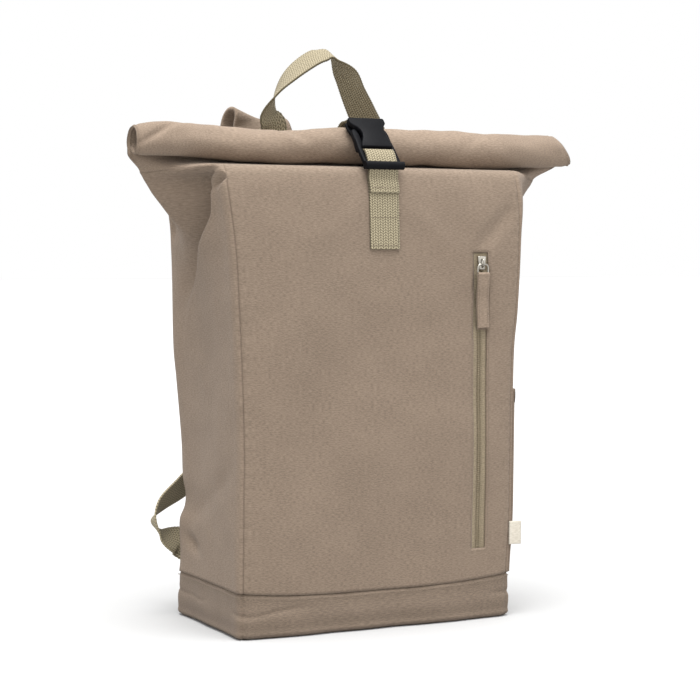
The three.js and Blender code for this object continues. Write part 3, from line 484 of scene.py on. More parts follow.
@dataclass
class Workshop:
    """Makes objects from meshes and dresses them."""

    groups: Groups = field(default_factory=Groups)
    finishes: dict[str, Finish] = field(default_factory=dict)
    materials: dict[str, bpy.types.Material] = field(default_factory=dict)
    pieces: list[bpy.types.Object] = field(default_factory=list)

    def __post_init__(self) -> None:
        """Builds every finish."""
        for finish in FINISHES:
            self.finishes[finish.name] = finish
            self.materials[finish.name] = finish.material(self.groups)

    def piece(self, name: str, mesh: bmesh.types.BMesh, finish: str,
              replaces: Sequence[str] = ()) -> bpy.types.Object:
        """Turns a mesh into a dressed piece that rides on the bag.

        Args:
            name: the piece's name.
            mesh: its shape in metres, freed here.
            finish: the name of its finish.
            replaces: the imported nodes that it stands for.

        Returns:
            The new object.
        """
        for face in mesh.faces:
            face.smooth = True
        made = add_mesh_object(name, mesh)
        made.data.materials.append(self.materials[finish])
        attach(made, "root")
        if replaces:
            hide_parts(*replaces)
        self.pieces.append(made)
        log.info("%s: %d faces", name, len(made.data.polygons))
        return made

    def wall(self, made: bpy.types.Object, thick: float, offset: float = -1.0) -> bpy.types.Object:
        """Gives a sheet its wall, thick in millimetres.

        Args:
            made: the sheet.
            thick: in millimetres.
            offset: -1 for inwards, 0 for both ways.

        Returns:
            The sheet.
        """
        solid = made.modifiers.new("wall", "SOLIDIFY")
        solid.thickness = thick * MM
        solid.offset = offset
        solid.use_even_offset = False
        return made


def cloth_grid(columns: int, rows: int, place: Place, size: tuple[float, float],
               spacing: Spacing = Spacing.EVEN, closed: bool = False) -> bmesh.types.BMesh:
    """A grid of cloth with its weave laid out in metres.

    Args:
        columns: faces across.
        rows: faces along.
        place: a point in millimetres for shares across and along.
        size: the cloth's width and length in millimetres, for its UV map.
        spacing: how the columns lie.
        closed: True if the first and last column meet.

    Returns:
        The mesh, in metres.
    """
    mesh = bmesh.new()
    layer = mesh.loops.layers.uv.new("weave")
    bmesh.ops.create_grid(mesh, x_segments=columns, y_segments=rows, size=0.5, calc_uvs=True)
    shares = {}
    for vert in mesh.verts:
        across, along = vert.co.x + 0.5, vert.co.y + 0.5
        if spacing is Spacing.EDGES:
            across = lerp(across, 0.5 - 0.5 * math.cos(math.pi * across), 0.85)
        shares[vert.index] = (across, along)
        vert.co = place(across, along) * MM
    mesh.verts.index_update()
    for face in mesh.faces:
        for loop in face.loops:
            across, along = shares[loop.vert.index]
            loop[layer].uv = (across * size[0] * MM, along * size[1] * MM)
    if closed:
        bmesh.ops.remove_doubles(mesh, verts=mesh.verts, dist=1e-6)
    return mesh


def smooth_line(points: Sequence[Vector], place: float) -> Vector:
    """A point on the smooth line through points, for a share of the way along it.

    Args:
        points: what the line goes through.
        place: the share of the way along the points.

    Returns:
        The point.
    """
    last = len(points) - 1
    spot = min(max(place, 0.0), 1.0) * last
    index = min(int(spot), last - 1)
    share = spot - index
    before, start = points[max(index - 1, 0)], points[index]
    end, after = points[index + 1], points[min(index + 2, last)]
    return hermite(start, (end - before) / 2, end, (after - start) / 2, share)


def lengths_along(line: Sequence[Vector]) -> list[float]:
    """How far along a line each of its points lies.

    Args:
        line: points in millimetres.

    Returns:
        A length for each point.
    """
    lengths = [0.0]
    for before, after in zip(line, line[1:]):
        lengths.append(lengths[-1] + (after - before).length)
    return lengths


def even_line(points: Sequence[Vector], steps: int) -> list[Vector]:
    """The smooth line through points, as steps + 1 points an equal way apart.

    Args:
        points: what the line goes through.
        steps: how many parts.

    Returns:
        The points.
    """
    fine = [smooth_line(points, i / (steps * 4)) for i in range(steps * 4 + 1)]
    lengths = lengths_along(fine)
    line, index = [], 0
    for step in range(steps + 1):
        goal = lengths[-1] * step / steps
        while index < len(fine) - 2 and lengths[index + 1] < goal:
            index += 1
        gap = max(lengths[index + 1] - lengths[index], 1e-9)
        line.append(fine[index].lerp(fine[index + 1], (goal - lengths[index]) / gap))
    return line


def tube(points: Sequence[Vector], radius: float, steps: int, sides: int = 10,
         loop: bool = False) -> bmesh.types.BMesh:
    """A round bar or wire along a line.

    Args:
        points: the line in millimetres; a loop ends where it starts.
        radius: of the wire.
        steps: faces along it.
        sides: faces round it.
        loop: True if the wire is closed.

    Returns:
        The mesh, in metres.
    """
    line = even_line(points, steps)
    normal = (line[1] - line[0]).orthogonal().normalized()
    frames = []
    for index, at in enumerate(line):
        ahead = line[1] if loop and index == steps else line[min(index + 1, steps)]
        behind = line[-2] if loop and index == 0 else line[max(index - 1, 0)]
        along = (ahead - behind).normalized()
        normal = (normal - along * normal.dot(along)).normalized()
        frames.append((at, normal.copy(), along.cross(normal)))

    def place(across: float, along: float) -> Vector:
        """A point of the wire's wall.

        Args:
            across: the share across the cloth.
            along: the share along the cloth.

        Returns:
            The point, in millimetres.
        """
        at, side, other = frames[round(along * steps)]
        turn = 2 * math.pi * across
        return at - side * math.cos(turn) * radius + other * math.sin(turn) * radius

    mesh = cloth_grid(sides, steps, place, (2 * math.pi * radius, 100), closed=True)
    if not loop:
        bmesh.ops.holes_fill(mesh, edges=[e for e in mesh.edges if e.is_boundary], sides=0)
    return mesh


@dataclass(frozen=True)
class Station:
    """A place on a band's middle line, with the way that its width points."""

    at: Vector
    across: Vector


def band(stations: Sequence[Station], width: float, steps: int, columns: int = 10,
         ripple: float = 0.0, crown: float = 0.0) -> bmesh.types.BMesh:
    """A band of webbing or cloth as one sheet.

    Args:
        stations: its line in millimetres.
        width: from edge to edge.
        steps: faces along it.
        columns: faces across it.
        ripple: how far its edges go in and out with the weave.
        crown: how far its middle stands over its edges.

    Returns:
        The mesh, in metres.
    """
    centres = [station.at for station in stations]
    acrosses = [station.across for station in stations]
    line = [smooth_line(centres, step / steps) for step in range(steps + 1)]
    ways = [smooth_line(acrosses, step / steps) for step in range(steps + 1)]
    lengths = lengths_along(line)

    def place(across: float, along: float) -> Vector:
        """A point of the band.

        Args:
            across: the share across the cloth.
            along: the share along the cloth.

        Returns:
            The point, in millimetres.
        """
        index = round(along * steps)
        ahead = line[min(index + 1, steps)] - line[max(index - 1, 0)]
        ahead.normalize()
        way = (ways[index] - ahead * ways[index].dot(ahead)).normalized()
        edge = 2 * across - 1
        wide = width / 2 + ripple * math.sin(lengths[index] * 2 * math.pi / 2.6) * abs(edge) ** 3
        return line[index] + way * wide * edge + ahead.cross(way) * crown * (1 - edge**2)

    mesh = cloth_grid(columns, steps, place, (width, lengths[-1]))
    layer = mesh.loops.layers.uv["weave"]
    mesh.verts.index_update()
    for face in mesh.faces:
        for loop in face.loops:
            along = round(loop[layer].uv.y / (lengths[-1] * MM) * steps)
            loop[layer].uv.y = lengths[along] * MM
    return mesh


def webbing(shop: Workshop, name: str, stations: Sequence[Station], steps: int, ripple: float,
            node: str) -> None:
    """Makes a piece of webbing.

    Args:
        shop: where it is dressed.
        name: the piece's name.
        stations: its line in millimetres.
        steps: faces along it.
        ripple: how far its edges go in and out with the weave.
        node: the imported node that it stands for.
    """
    mesh = band(stations, WEBBING_WIDTH, steps, ripple=ripple)
    shop.wall(shop.piece(name, mesh, "webbing_cloth", [node]), WEBBING_THICK, 0.0)


def add_grain(mesh: bmesh.types.BMesh, at: Vector, turn: Matrix, size: Sequence[float]) -> None:
    """Adds a small ellipsoid to a mesh.

    Args:
        mesh: where it goes.
        at: its middle, in millimetres.
        turn: how it is turned.
        size: half its length along each of its own axes, in millimetres.
    """
    scale = Matrix.Diagonal((*(half * MM for half in size), 1))
    matrix = Matrix.Translation(at * MM) @ turn @ scale
    bmesh.ops.create_icosphere(mesh, subdivisions=1, radius=1, matrix=matrix)


def add_mesh(whole: bmesh.types.BMesh, part: bmesh.types.BMesh) -> None:
    """Moves a mesh into another, and frees it.

    Args:
        whole: the mesh that grows.
        part: the mesh that goes into it.
    """
    data = bpy.data.meshes.new("part")
    part.to_mesh(data)
    part.free()
    whole.from_mesh(data)
    bpy.data.meshes.remove(data)


class Stitching:
    """Rows of thread, gathered into one piece."""

    def __init__(self) -> None:
        """Starts with no stitches."""
        self.mesh = bmesh.new()
        self.mesh.loops.layers.uv.new("weave")

    def row(self, line: Sequence[Vector], normal: Callable[[Vector], Vector], pitch: float = 3.4,
            radius: float = 0.32) -> None:
        """Sews along a line.

        Args:
            line: points in millimetres on the cloth's face.
            normal: the way out of the cloth at a point.
            pitch: from one stitch to the next.
            radius: half the thread's width.
        """
        count = max(int(lengths_along(line)[-1] / pitch), 2)
        spots = even_line(list(line), count)
        for start, end in zip(spots, spots[1:]):
            along = end - start
            out = normal((start + end) / 2).normalized()
            side = along.normalized().cross(out).normalized()
            turn = Matrix((along.normalized(), side, out)).transposed().to_4x4()
            middle = (start + end) / 2 + out * radius * 0.35
            reach = along.length * 0.43
            add_grain(self.mesh, middle, turn, (reach, radius, radius))

    def across(self, at: Vector, half: float, out: Vector) -> None:
        """Sews straight across a band.

        Args:
            at: the middle of the row, in millimetres.
            half: half the row's length.
            out: the way out of the band.
        """
        self.row([at + RIGHT * half * (step / 3 - 1) for step in range(7)], lambda _: out, 3.0)


# The bag's own form ---------------------------------------------------------------------------


@dataclass(frozen=True)
class Crease:
    """A dent in a gusset: its depth, its middle and how far it spreads each way."""

    depth: float
    height: float
    tall: float
    y: float
    wide: float
    lean: float = 0.0

    def at(self, y: float, height: float) -> float:
        """How deep it is at a point."""
        level = height + self.lean * (y - self.y)
        return self.depth * hump(level, self.height, self.tall) * hump(y, self.y, self.wide)


@dataclass
class BagForm:
    """Where the bag's cloth lies: seams, panels, gussets and their folds."""

    half_width: float = 140.0
    depth: float = 150.0
    band_height: float = 42.0
    seam_height: float = 424.0
    corner: float = 5.5
    corner_reach: float = 11.0
    band_sag: float = 5.5
    gusset_sag: float = 7.6
    # the four seams: height, how far out from the middle
    front_left: Track = Track((
        (0, 138.0), (14, 136.3), (42, 136.4), (128, 136.4), (162, 135.9), (233, 138.0),
        (304, 141.5), (349, 144.5), (391, 149.3), (413, 151.2), (424, 151.0),
    ))
    front_right: Track = Track((
        (0, 136.5), (42, 136.4), (93, 138.8), (139, 139.2), (220, 139.8), (259, 140.8),
        (290, 144.0), (339, 146.7), (369, 148.0), (393, 148.8), (413, 147.5), (424, 147.0),
    ))
    back_left: Track = Track((
        (0, 139.0), (18, 139.5), (52, 134.5), (91, 134.6), (104, 129.2), (116, 128.2),
        (131, 131.2), (166, 132.8), (226, 138.3), (255, 141.3), (339, 143.3), (375, 146.0),
        (405, 149.0), (424, 149.0),
    ))
    back_right: Track = Track((
        (0, 135.0), (52, 132.5), (131, 132.0), (226, 135.5), (255, 137.2), (339, 140.0),
        (375, 143.0), (405, 146.5), (424, 147.0),
    ))
    # height, the front's and the back's share of the half depth, the crown between their seams
    panels: Track = Track((
        (0, 0.985, 0.985, 0.02), (42, 0.985, 0.985, 0.045), (92, 1.0, 1.0, 0.05),
        (160, 1.0, 1.0, 0.05), (233, 1.0, 1.0, 0.045), (302, 1.0, 1.0, 0.035),
        (336, 1.0, 0.995, 0.025), (359, 0.991, 0.99, 0.02), (376, 0.979, 0.985, 0.015),
        (392, 0.959, 0.975, 0.01), (405, 0.933, 0.95, 0.01), (415, 0.9, 0.91, 0.01),
        (420, 0.868, 0.86, 0.01), (424, 0.8, 0.8, 0.01),
    ))
    # height, the fold's reach, the ridge in front of it, the valley's depth
    folds: Track = Track((
        (0, 138.5, -50, 0), (42, 138.6, -50, 0), (92, 140.7, -50, 0), (160, 139.6, -40, 0),
        (233, 141.0, 44, 0), (280, 143.5, 40, 0.5), (302, 145.5, 32, 2.5), (320, 147.5, 19, 6),
        (340, 152.0, 1, 12), (359, 162.0, -20, 17), (376, 176.0, -34, 20), (392, 187.5, -40, 22),
        (403, 195.5, -41, 21), (410, 199.5, -40, 18), (415, 202.5, -42, 14), (419, 205.0, -51, 9),
        (422, 206.5, -64, 5), (424, 207.5, -72, 2),
    ))
    creases: tuple[Crease, ...] = (
        Crease(6.5, 410.7, 3.6, -60, 11, 0.4), Crease(-1.5, 420, 5, -62, 10),
        Crease(5.0, 72, 7, 40, 15, -0.25), Crease(4.0, 366, 10, 60, 7),
    )

    def seams(self, side: Side, height: float) -> tuple[float, float]:
        """How far out the front and back seams of a side are at a height.

        Args:
            side: which side.
            height: over the ground.

        Returns:
            The front seam's and the back seam's.
        """
        if side is Side.LEFT:
            return self.front_left.at(height)[0], self.back_left.at(height)[0]
        return self.front_right.at(height)[0], self.back_right.at(height)[0]

    def panel(self, facing: int, share: float, height: float) -> Vector:
        """A point of the front or back panel.

        Args:
            facing: -1 for the front, 1 for the back.
            share: -1 at the left seam, 1 at the right seam.
            height: over the ground.

        Returns:
            The point, in millimetres.
        """
        near, far, crown = self.panels.at(height)
        seam = self.seams(Side.LEFT if share < 0 else Side.RIGHT, height)[0 if facing < 0 else 1]
        x = share * seam
        depth = self.depth / 2 * ((near if facing < 0 else far) + crown * (1 - share**4))
        inset = (1 - abs(share)) * seam
        depth -= 2.4 * math.exp(-inset / 0.9)
        wave = noise.noise(Vector((x * 0.011, height * 0.009, 3.0 * facing)))
        ripple = noise.noise(Vector((x * 0.03, height * 0.022, 7.0 * facing)))
        fade = ease(inset, 0, 40)
        depth += 2.6 * wave * fade + 0.7 * ripple * fade
        if facing < 0:
            pull = hump(abs(x) * 0.75 + (height - 330), 75, 14) * ease(height, 300, 400)
            depth += pull * fade * ease(self.seam_height - height, 0, 30)
            right, up = x - 118, height - 366
            depth -= 2.6 * hump(right - up, 0, 11) * hump(right + up, 4, 48)
            depth += 0.35 * math.sin(height * 0.55) * math.exp(-inset / 6)
        return Vector((x, facing * depth, height))

    def gusset(self, side: Side, share: float, height: float) -> Vector:
        """A point of a side gusset.

        Args:
            side: which gusset.
            share: 0 at the front seam, 1 at the back seam.
            height: over the ground.

        Returns:
            The point, in millimetres.
        """
        near, far, _ = self.panels.at(height)
        near_edge, far_edge = -near * self.depth / 2, far * self.depth / 2
        front, back = self.seams(side, height)
        y = lerp(near_edge, far_edge, share)
        fold, ridge, dent = self.folds.at(height)
        left = side is Side.LEFT
        plane = lerp(front, back, share) + self.corner
        crisp = ease(height, 345, 385)
        half = abs(2 * share - 1)
        if y > 0:
            ramp = lerp(ease(1 - half), (1 - half) ** 1.15, crisp)
        else:
            start = max(min(ridge, -12), near_edge) if left else near_edge
            ramp = lerp(ease(1 - half), min(max((y - start) / -start, 0.0), 1.0), crisp)
        out = plane + (fold - lerp(front, back, 0.5) - self.corner) * ramp
        gap = y - ridge - 7
        if left:
            out -= dent * math.exp(-((gap / (6.5 if gap < 0 else 15)) ** 2))
            out += 2.0 * crisp * hump(y, ridge - 5, 5) * ease(410 - height, 0, 12)
            out -= 2.2 * hump(y * 0.5 + height, 118, 13) * ease(self.depth / 2 - abs(y), 8, 40)
            out -= sum(crease.at(y, height) for crease in self.creases)
        else:
            out -= dent * 0.2 * hump(y, -30, 22)
        if y > 0:
            out -= dent * 0.75 * crisp * hump(y, 40, 17)
        reach = self.corner_reach
        for inset in (y - near_edge, far_edge - y):
            if inset < reach:
                out -= self.corner * (1 - math.sqrt(max(1 - (1 - inset / reach) ** 2, 0.0)))
            out -= 1.2 * math.exp(-inset / 0.9)
        fade = ease(min(y - near_edge, far_edge - y), 0, 25)
        out += 2.4 * noise.noise(Vector((y * 0.018, height * 0.013, side.value * 5.0))) * fade
        out += 0.6 * noise.noise(Vector((y * 0.05, height * 0.035, side.value * 9.0))) * fade
        y += 2.4 * math.exp(-(y - near_edge) / 0.8)
        y -= 2.4 * math.exp(-(far_edge - y) / 0.8)
        sag = self.gusset_sag * max((height / self.seam_height - 0.874) / 0.126, 0.0)
        return Vector((side.value * out, y, height - sag * (1 - half)))

    def band_seam(self, share: float) -> float:
        """How high the band's seam runs on the front panel, share -1 to 1."""
        return self.band_height - self.band_sag * (1 - abs(share) ** 3)

    def outward(self, at: Vector) -> Vector:
        """The way out of the bag at a point of its outline, about 1 long."""
        return Vector((at.x / self.half_width, at.y / (self.depth / 2), 0))

    def ring(self, place: float, height: float) -> Vector:
        """A point round the bag, from 0 to 4: front, right gusset, back, left gusset.

        Args:
            place: 0 to 4 round the bag.
            height: over the ground.

        Returns:
            The point, in millimetres.
        """
        part, share = int(place) % 4, place % 1.0
        if part == 0:
            return self.panel(-1, 2 * share - 1, height)
        if part == 1:
            return self.gusset(Side.RIGHT, share, height)
        if part == 2:
            return self.panel(1, 1 - 2 * share, height)
        return self.gusset(Side.LEFT, 1 - share, height)


@dataclass
class Shell:
    """The bag's panels, gussets, foot band and floor."""

    form: BagForm
    cloth: float = 2.0
    zip_shift: float = 104.0
    zip_low: float = 68.0
    zip_high: float = 346.0
    window: float = 14.5
    turned_under: float = 5.0
    panel_size: tuple[float, float] = (280, 385)
    gusset_size: tuple[float, float] = (150, 385)
    floor_size: tuple[float, float] = (264, 137)

    def build(self, shop: Workshop) -> None:
        """Makes the pieces.

        Args:
            shop: where they are dressed.
        """
        form = self.form
        top = form.seam_height

        def front(across: float, along: float) -> Vector:
            """A point of the front panel."""
            share = 2 * across - 1
            return form.panel(-1, share, lerp(form.band_seam(share), top, along))

        def back(across: float, along: float) -> Vector:
            """A point of the back panel."""
            return form.panel(1, 1 - 2 * across, lerp(form.band_height, top, along))

        mesh = cloth_grid(110, 150, front, self.panel_size, Spacing.EDGES)
        self.cut_window(mesh)
        made = shop.wall(shop.piece("front_panel", mesh, "canvas_cloth", ["bag_body"]), self.cloth)
        mesh = cloth_grid(90, 110, back, self.panel_size, Spacing.EDGES)
        made = shop.wall(shop.piece("back_panel", mesh, "canvas_cloth"), self.cloth)
        for side in Side:
            def gusset(across: float, along: float, side: Side = side) -> Vector:
                """A point of the gusset."""
                share = across if side is Side.RIGHT else 1 - across
                return form.gusset(side, share, lerp(form.band_height, top, along))

            mesh = cloth_grid(110, 150, gusset, self.gusset_size, Spacing.EDGES)
            made = shop.piece(f"{side.name.lower()}_gusset", mesh, "canvas_cloth")
            shop.wall(made, self.cloth)
        self.foot(shop)

    def cut_window(self, mesh: bmesh.types.BMesh) -> None:
        """Cuts the zip's window out of the front panel and turns its edges in.

        Args:
            mesh: the mesh to change.
        """
        left, right = self.zip_shift - self.window / 2, self.zip_shift + self.window / 2
        planes = [(left, RIGHT), (right, RIGHT), (self.zip_low, UP), (self.zip_high, UP)]
        for place, normal in planes:
            near = [f for f in mesh.faces if self.by_window(f.calc_center_median(), 8.0)]
            edges = {e for f in near for e in f.edges}
            verts = {v for f in near for v in f.verts}
            bmesh.ops.bisect_plane(mesh, geom=[*verts, *edges, *near], dist=1e-7,
                                   plane_co=normal * place * MM, plane_no=normal)
        inside = [f for f in mesh.faces if self.by_window(f.calc_center_median(), -0.01)]
        bmesh.ops.delete(mesh, geom=inside, context="FACES")
        for vert in mesh.verts:
            if vert.is_boundary and self.by_window(vert.co, 0.5):
                vert.co.y += 1.0 * MM

    def by_window(self, at: Vector, margin: float) -> bool:
        """Whether a point lies in the window or within margin of it."""
        wide = abs(at.x / MM - self.zip_shift) < self.window / 2 + margin
        return wide and self.zip_low - margin < at.z / MM < self.zip_high + margin

    def foot(self, shop: Workshop) -> None:
        """Makes the band round the foot and the floor inside it.

        Args:
            shop: where pieces are made and dressed.
        """
        form = self.form

        def ring(across: float, along: float) -> Vector:
            """A point of the foot band.

            Args:
                across: the share across the cloth.
                along: the share along the cloth.

            Returns:
                The point, in millimetres.
            """
            place = across * 4
            part, share = int(place) % 4, place % 1.0
            dense = share if part % 2 else lerp(share, 0.5 - 0.5 * math.cos(math.pi * share), 0.5)
            head = form.band_seam(2 * dense - 1) if part == 0 else form.band_height
            at = form.ring(int(place) % 4 + dense, form.band_height)
            height = (head - 0.2) * along
            flat = Vector((at.x, at.y, 0))
            outward = form.outward(at).normalized()
            under = self.turned_under * max(1 - height / self.turned_under, 0.0) ** 2
            bulge = 1.3 * hump(height, 17, 9) + hump(height, 3.5, 3)
            bulge -= 1.4 * hump(height, head, 2.2)
            level = 24 + 6 * noise.noise(Vector((at.x * 0.02, at.y * 0.03, 4)))
            crease = 1.2 * hump(height, level, 2.2)
            deep = crease * ease(noise.noise(Vector((at.x * 0.012, at.y * 0.02, 9))), -0.1, 0.35)
            swell = 1.5 * noise.noise(Vector((at.x * 0.025, at.y * 0.03, height * 0.03)))
            return flat + outward * (bulge - deep + swell - under) + UP * height

        mesh = cloth_grid(360, 34, ring, (860, 42), closed=True)
        # the foot band wears the darker canvas copy, which is painted shade
        made = shop.wall(shop.piece("foot_band", mesh, "canvas_painted_shade", ["base_band"]), self.cloth)

        def floor(across: float, along: float) -> Vector:
            """A point of the floor."""
            wide, deep = self.floor_size
            return Vector(((across - 0.5) * wide, (along - 0.5) * deep, 1.2))

        mesh = cloth_grid(44, 24, floor, self.floor_size)
        made = shop.wall(shop.piece("bag_floor", mesh, "canvas_inside"), 1.6)

    def sew(self, thread: Stitching) -> None:
        """Sews round the top of the foot band.

        Args:
            thread: where the stitches go.
        """
        form = self.form
        for part in range(4):
            line = []
            for step in range(61):
                share = step / 60
                head = form.band_seam(2 * share - 1) if part == 0 else form.band_height
                at = form.ring(part + min(share, 0.9999), form.band_height)
                line.append(Vector((at.x, at.y, head - 3.2)) + form.outward(at) * 0.5)
            thread.row(line, form.outward, 3.2)


@dataclass
class RolledNeck:
    """The bag's neck: up from the collar seam, flattened and rolled forward."""

    form: BagForm
    length: float = 444.0
    seam: float = 151.0
    radius: float = 17.0
    forward: float = 20.0
    middle: float = 443.5
    layer: float = 2.5
    start: float = -30.0
    tightens: float = 230.0
    inside: float = 320.0
    end: float = 495.0
    step_in: float = 5.5
    spiral: float = 5.0
    # place along the roll, lift as a share of the radius, girth
    line: Track = Track((
        (-1.0, 0.04, 0.86), (-0.85, 0.14, 0.92), (-0.5, -0.08, 0.9), (-0.3, -0.12, 0.9),
        (-0.1, 0.02, 1.0), (0.3, 0.03, 1.06), (0.65, -0.04, 1.04), (1.0, 0.1, 0.9),
    ))
    # depth, slope along the roll, place, half width, turn in degrees, half its reach in degrees
    creases: tuple[tuple[float, ...], ...] = (
        (1.0, 0.45, -132, 6, 150, 45), (0.8, -0.3, -105, 7, 120, 40), (0.7, 0.35, 172, 7, 130, 45),
    )

    def wrap(self, angle: float) -> float:
        """How far from the roll's axis the cloth's middle lies, at a turn in degrees.

        Args:
            angle: the turn, in degrees.

        Returns:
            The distance, in millimetres.
        """
        outer = self.radius - self.layer
        if angle <= self.tightens:
            return outer
        if angle <= self.inside:
            return outer - self.step_in * ease(angle, self.tightens, self.inside)
        return outer - self.step_in - self.spiral * (angle - self.inside) / 360

    def rolled(self, angle: float, across: float, layer: float) -> Vector:
        """A point of the roll.

        Args:
            angle: the turn, 0 at the back and 90 at the top.
            across: -1 at the left end, 1 at the right end.
            layer: 1 for the front cloth, which lies inside, -1 for the back cloth.

        Returns:
            The point, in millimetres.
        """
        x = across * self.length / 2
        lift, girth = self.line.at(across)
        near_end = ease(abs(across), 0.9, 1.0)
        radius = self.wrap(angle) * girth - layer * self.layer * (1 - 0.25 * near_end)
        inner = ease(angle, 300, 360)
        radius -= 3.4 * near_end * inner
        x *= 1 - 0.03 * near_end * inner
        turn = math.radians(angle)
        level, upright = math.cos(turn), math.sin(turn)
        if across > 0:
            x += ease(across, 0.86, 1.0) * (5 - 9 * upright)
        lump = 1.1 * noise.noise(Vector((x * 0.02, level * 0.8, upright * 0.8)))
        lump += 0.5 * noise.noise(Vector((x * 0.06, level * 1.6, upright * 1.6 + 4)))
        crease = sum(
            deep * hump(x + slope * angle, place, wide) * hump(angle, turned, spread)
            for deep, slope, place, wide, turned, spread in self.creases
        )
        radius += (1.3 * lump - 2.6 * crease) * (1 - inner)
        y = -self.forward + radius * level
        z = self.middle + lift * self.radius + radius * upright * 1.02
        return Vector((x, y, z))

    def build(self, shop: Workshop) -> None:
        """Makes the rolled neck as one flattened tube of cloth.

        Args:
            shop: where pieces are made and dressed.
        """
        form = self.form
        rise, turns = 16, 84
        rows = rise + turns
        seam_share = self.seam / (self.length / 2)

        def place(across: float, along: float) -> Vector:
            """A point of the neck.

            Args:
                across: the share across the cloth.
                along: the share along the cloth.

            Returns:
                The point, in millimetres.
            """
            spot = across * 4
            part, share = int(spot) % 4, spot % 1.0
            if part % 2 == 0:
                folded, layer = 0.0, 1.0 - part
                flat = layer * (2 * share - 1) * seam_share
            else:
                folded, layer = 1 - abs(2 * share - 1), 2.0 - part
                flat = layer * lerp(seam_share, 1.0, folded)
                layer *= math.copysign(1 - ease(abs(flat), 0.965, 1.0), 0.5 - share)
            row = along * rows
            if row >= rise:
                angle = lerp(self.start, self.end, (row - rise) / turns)
                return self.rolled(angle, flat, layer)
            foot = form.ring(spot % 4, form.seam_height)
            head = self.rolled(self.start, flat, layer)
            way = row / rise
            inward = ease(way * 1.25)
            at = foot.lerp(head, inward)
            at.z = lerp(foot.z, head.z, lerp(way**3, way, folded))
            return at

        mesh = cloth_grid(320, rows, place, (1100, 190), closed=True)
        # the neck wears the lighter canvas copy, which is painted light
        made = shop.wall(shop.piece("rolled_neck", mesh, "canvas_painted_light", ["rolled_collar"]), 1.7)


# Webbing and its buckle -----------------------------------------------------------------------


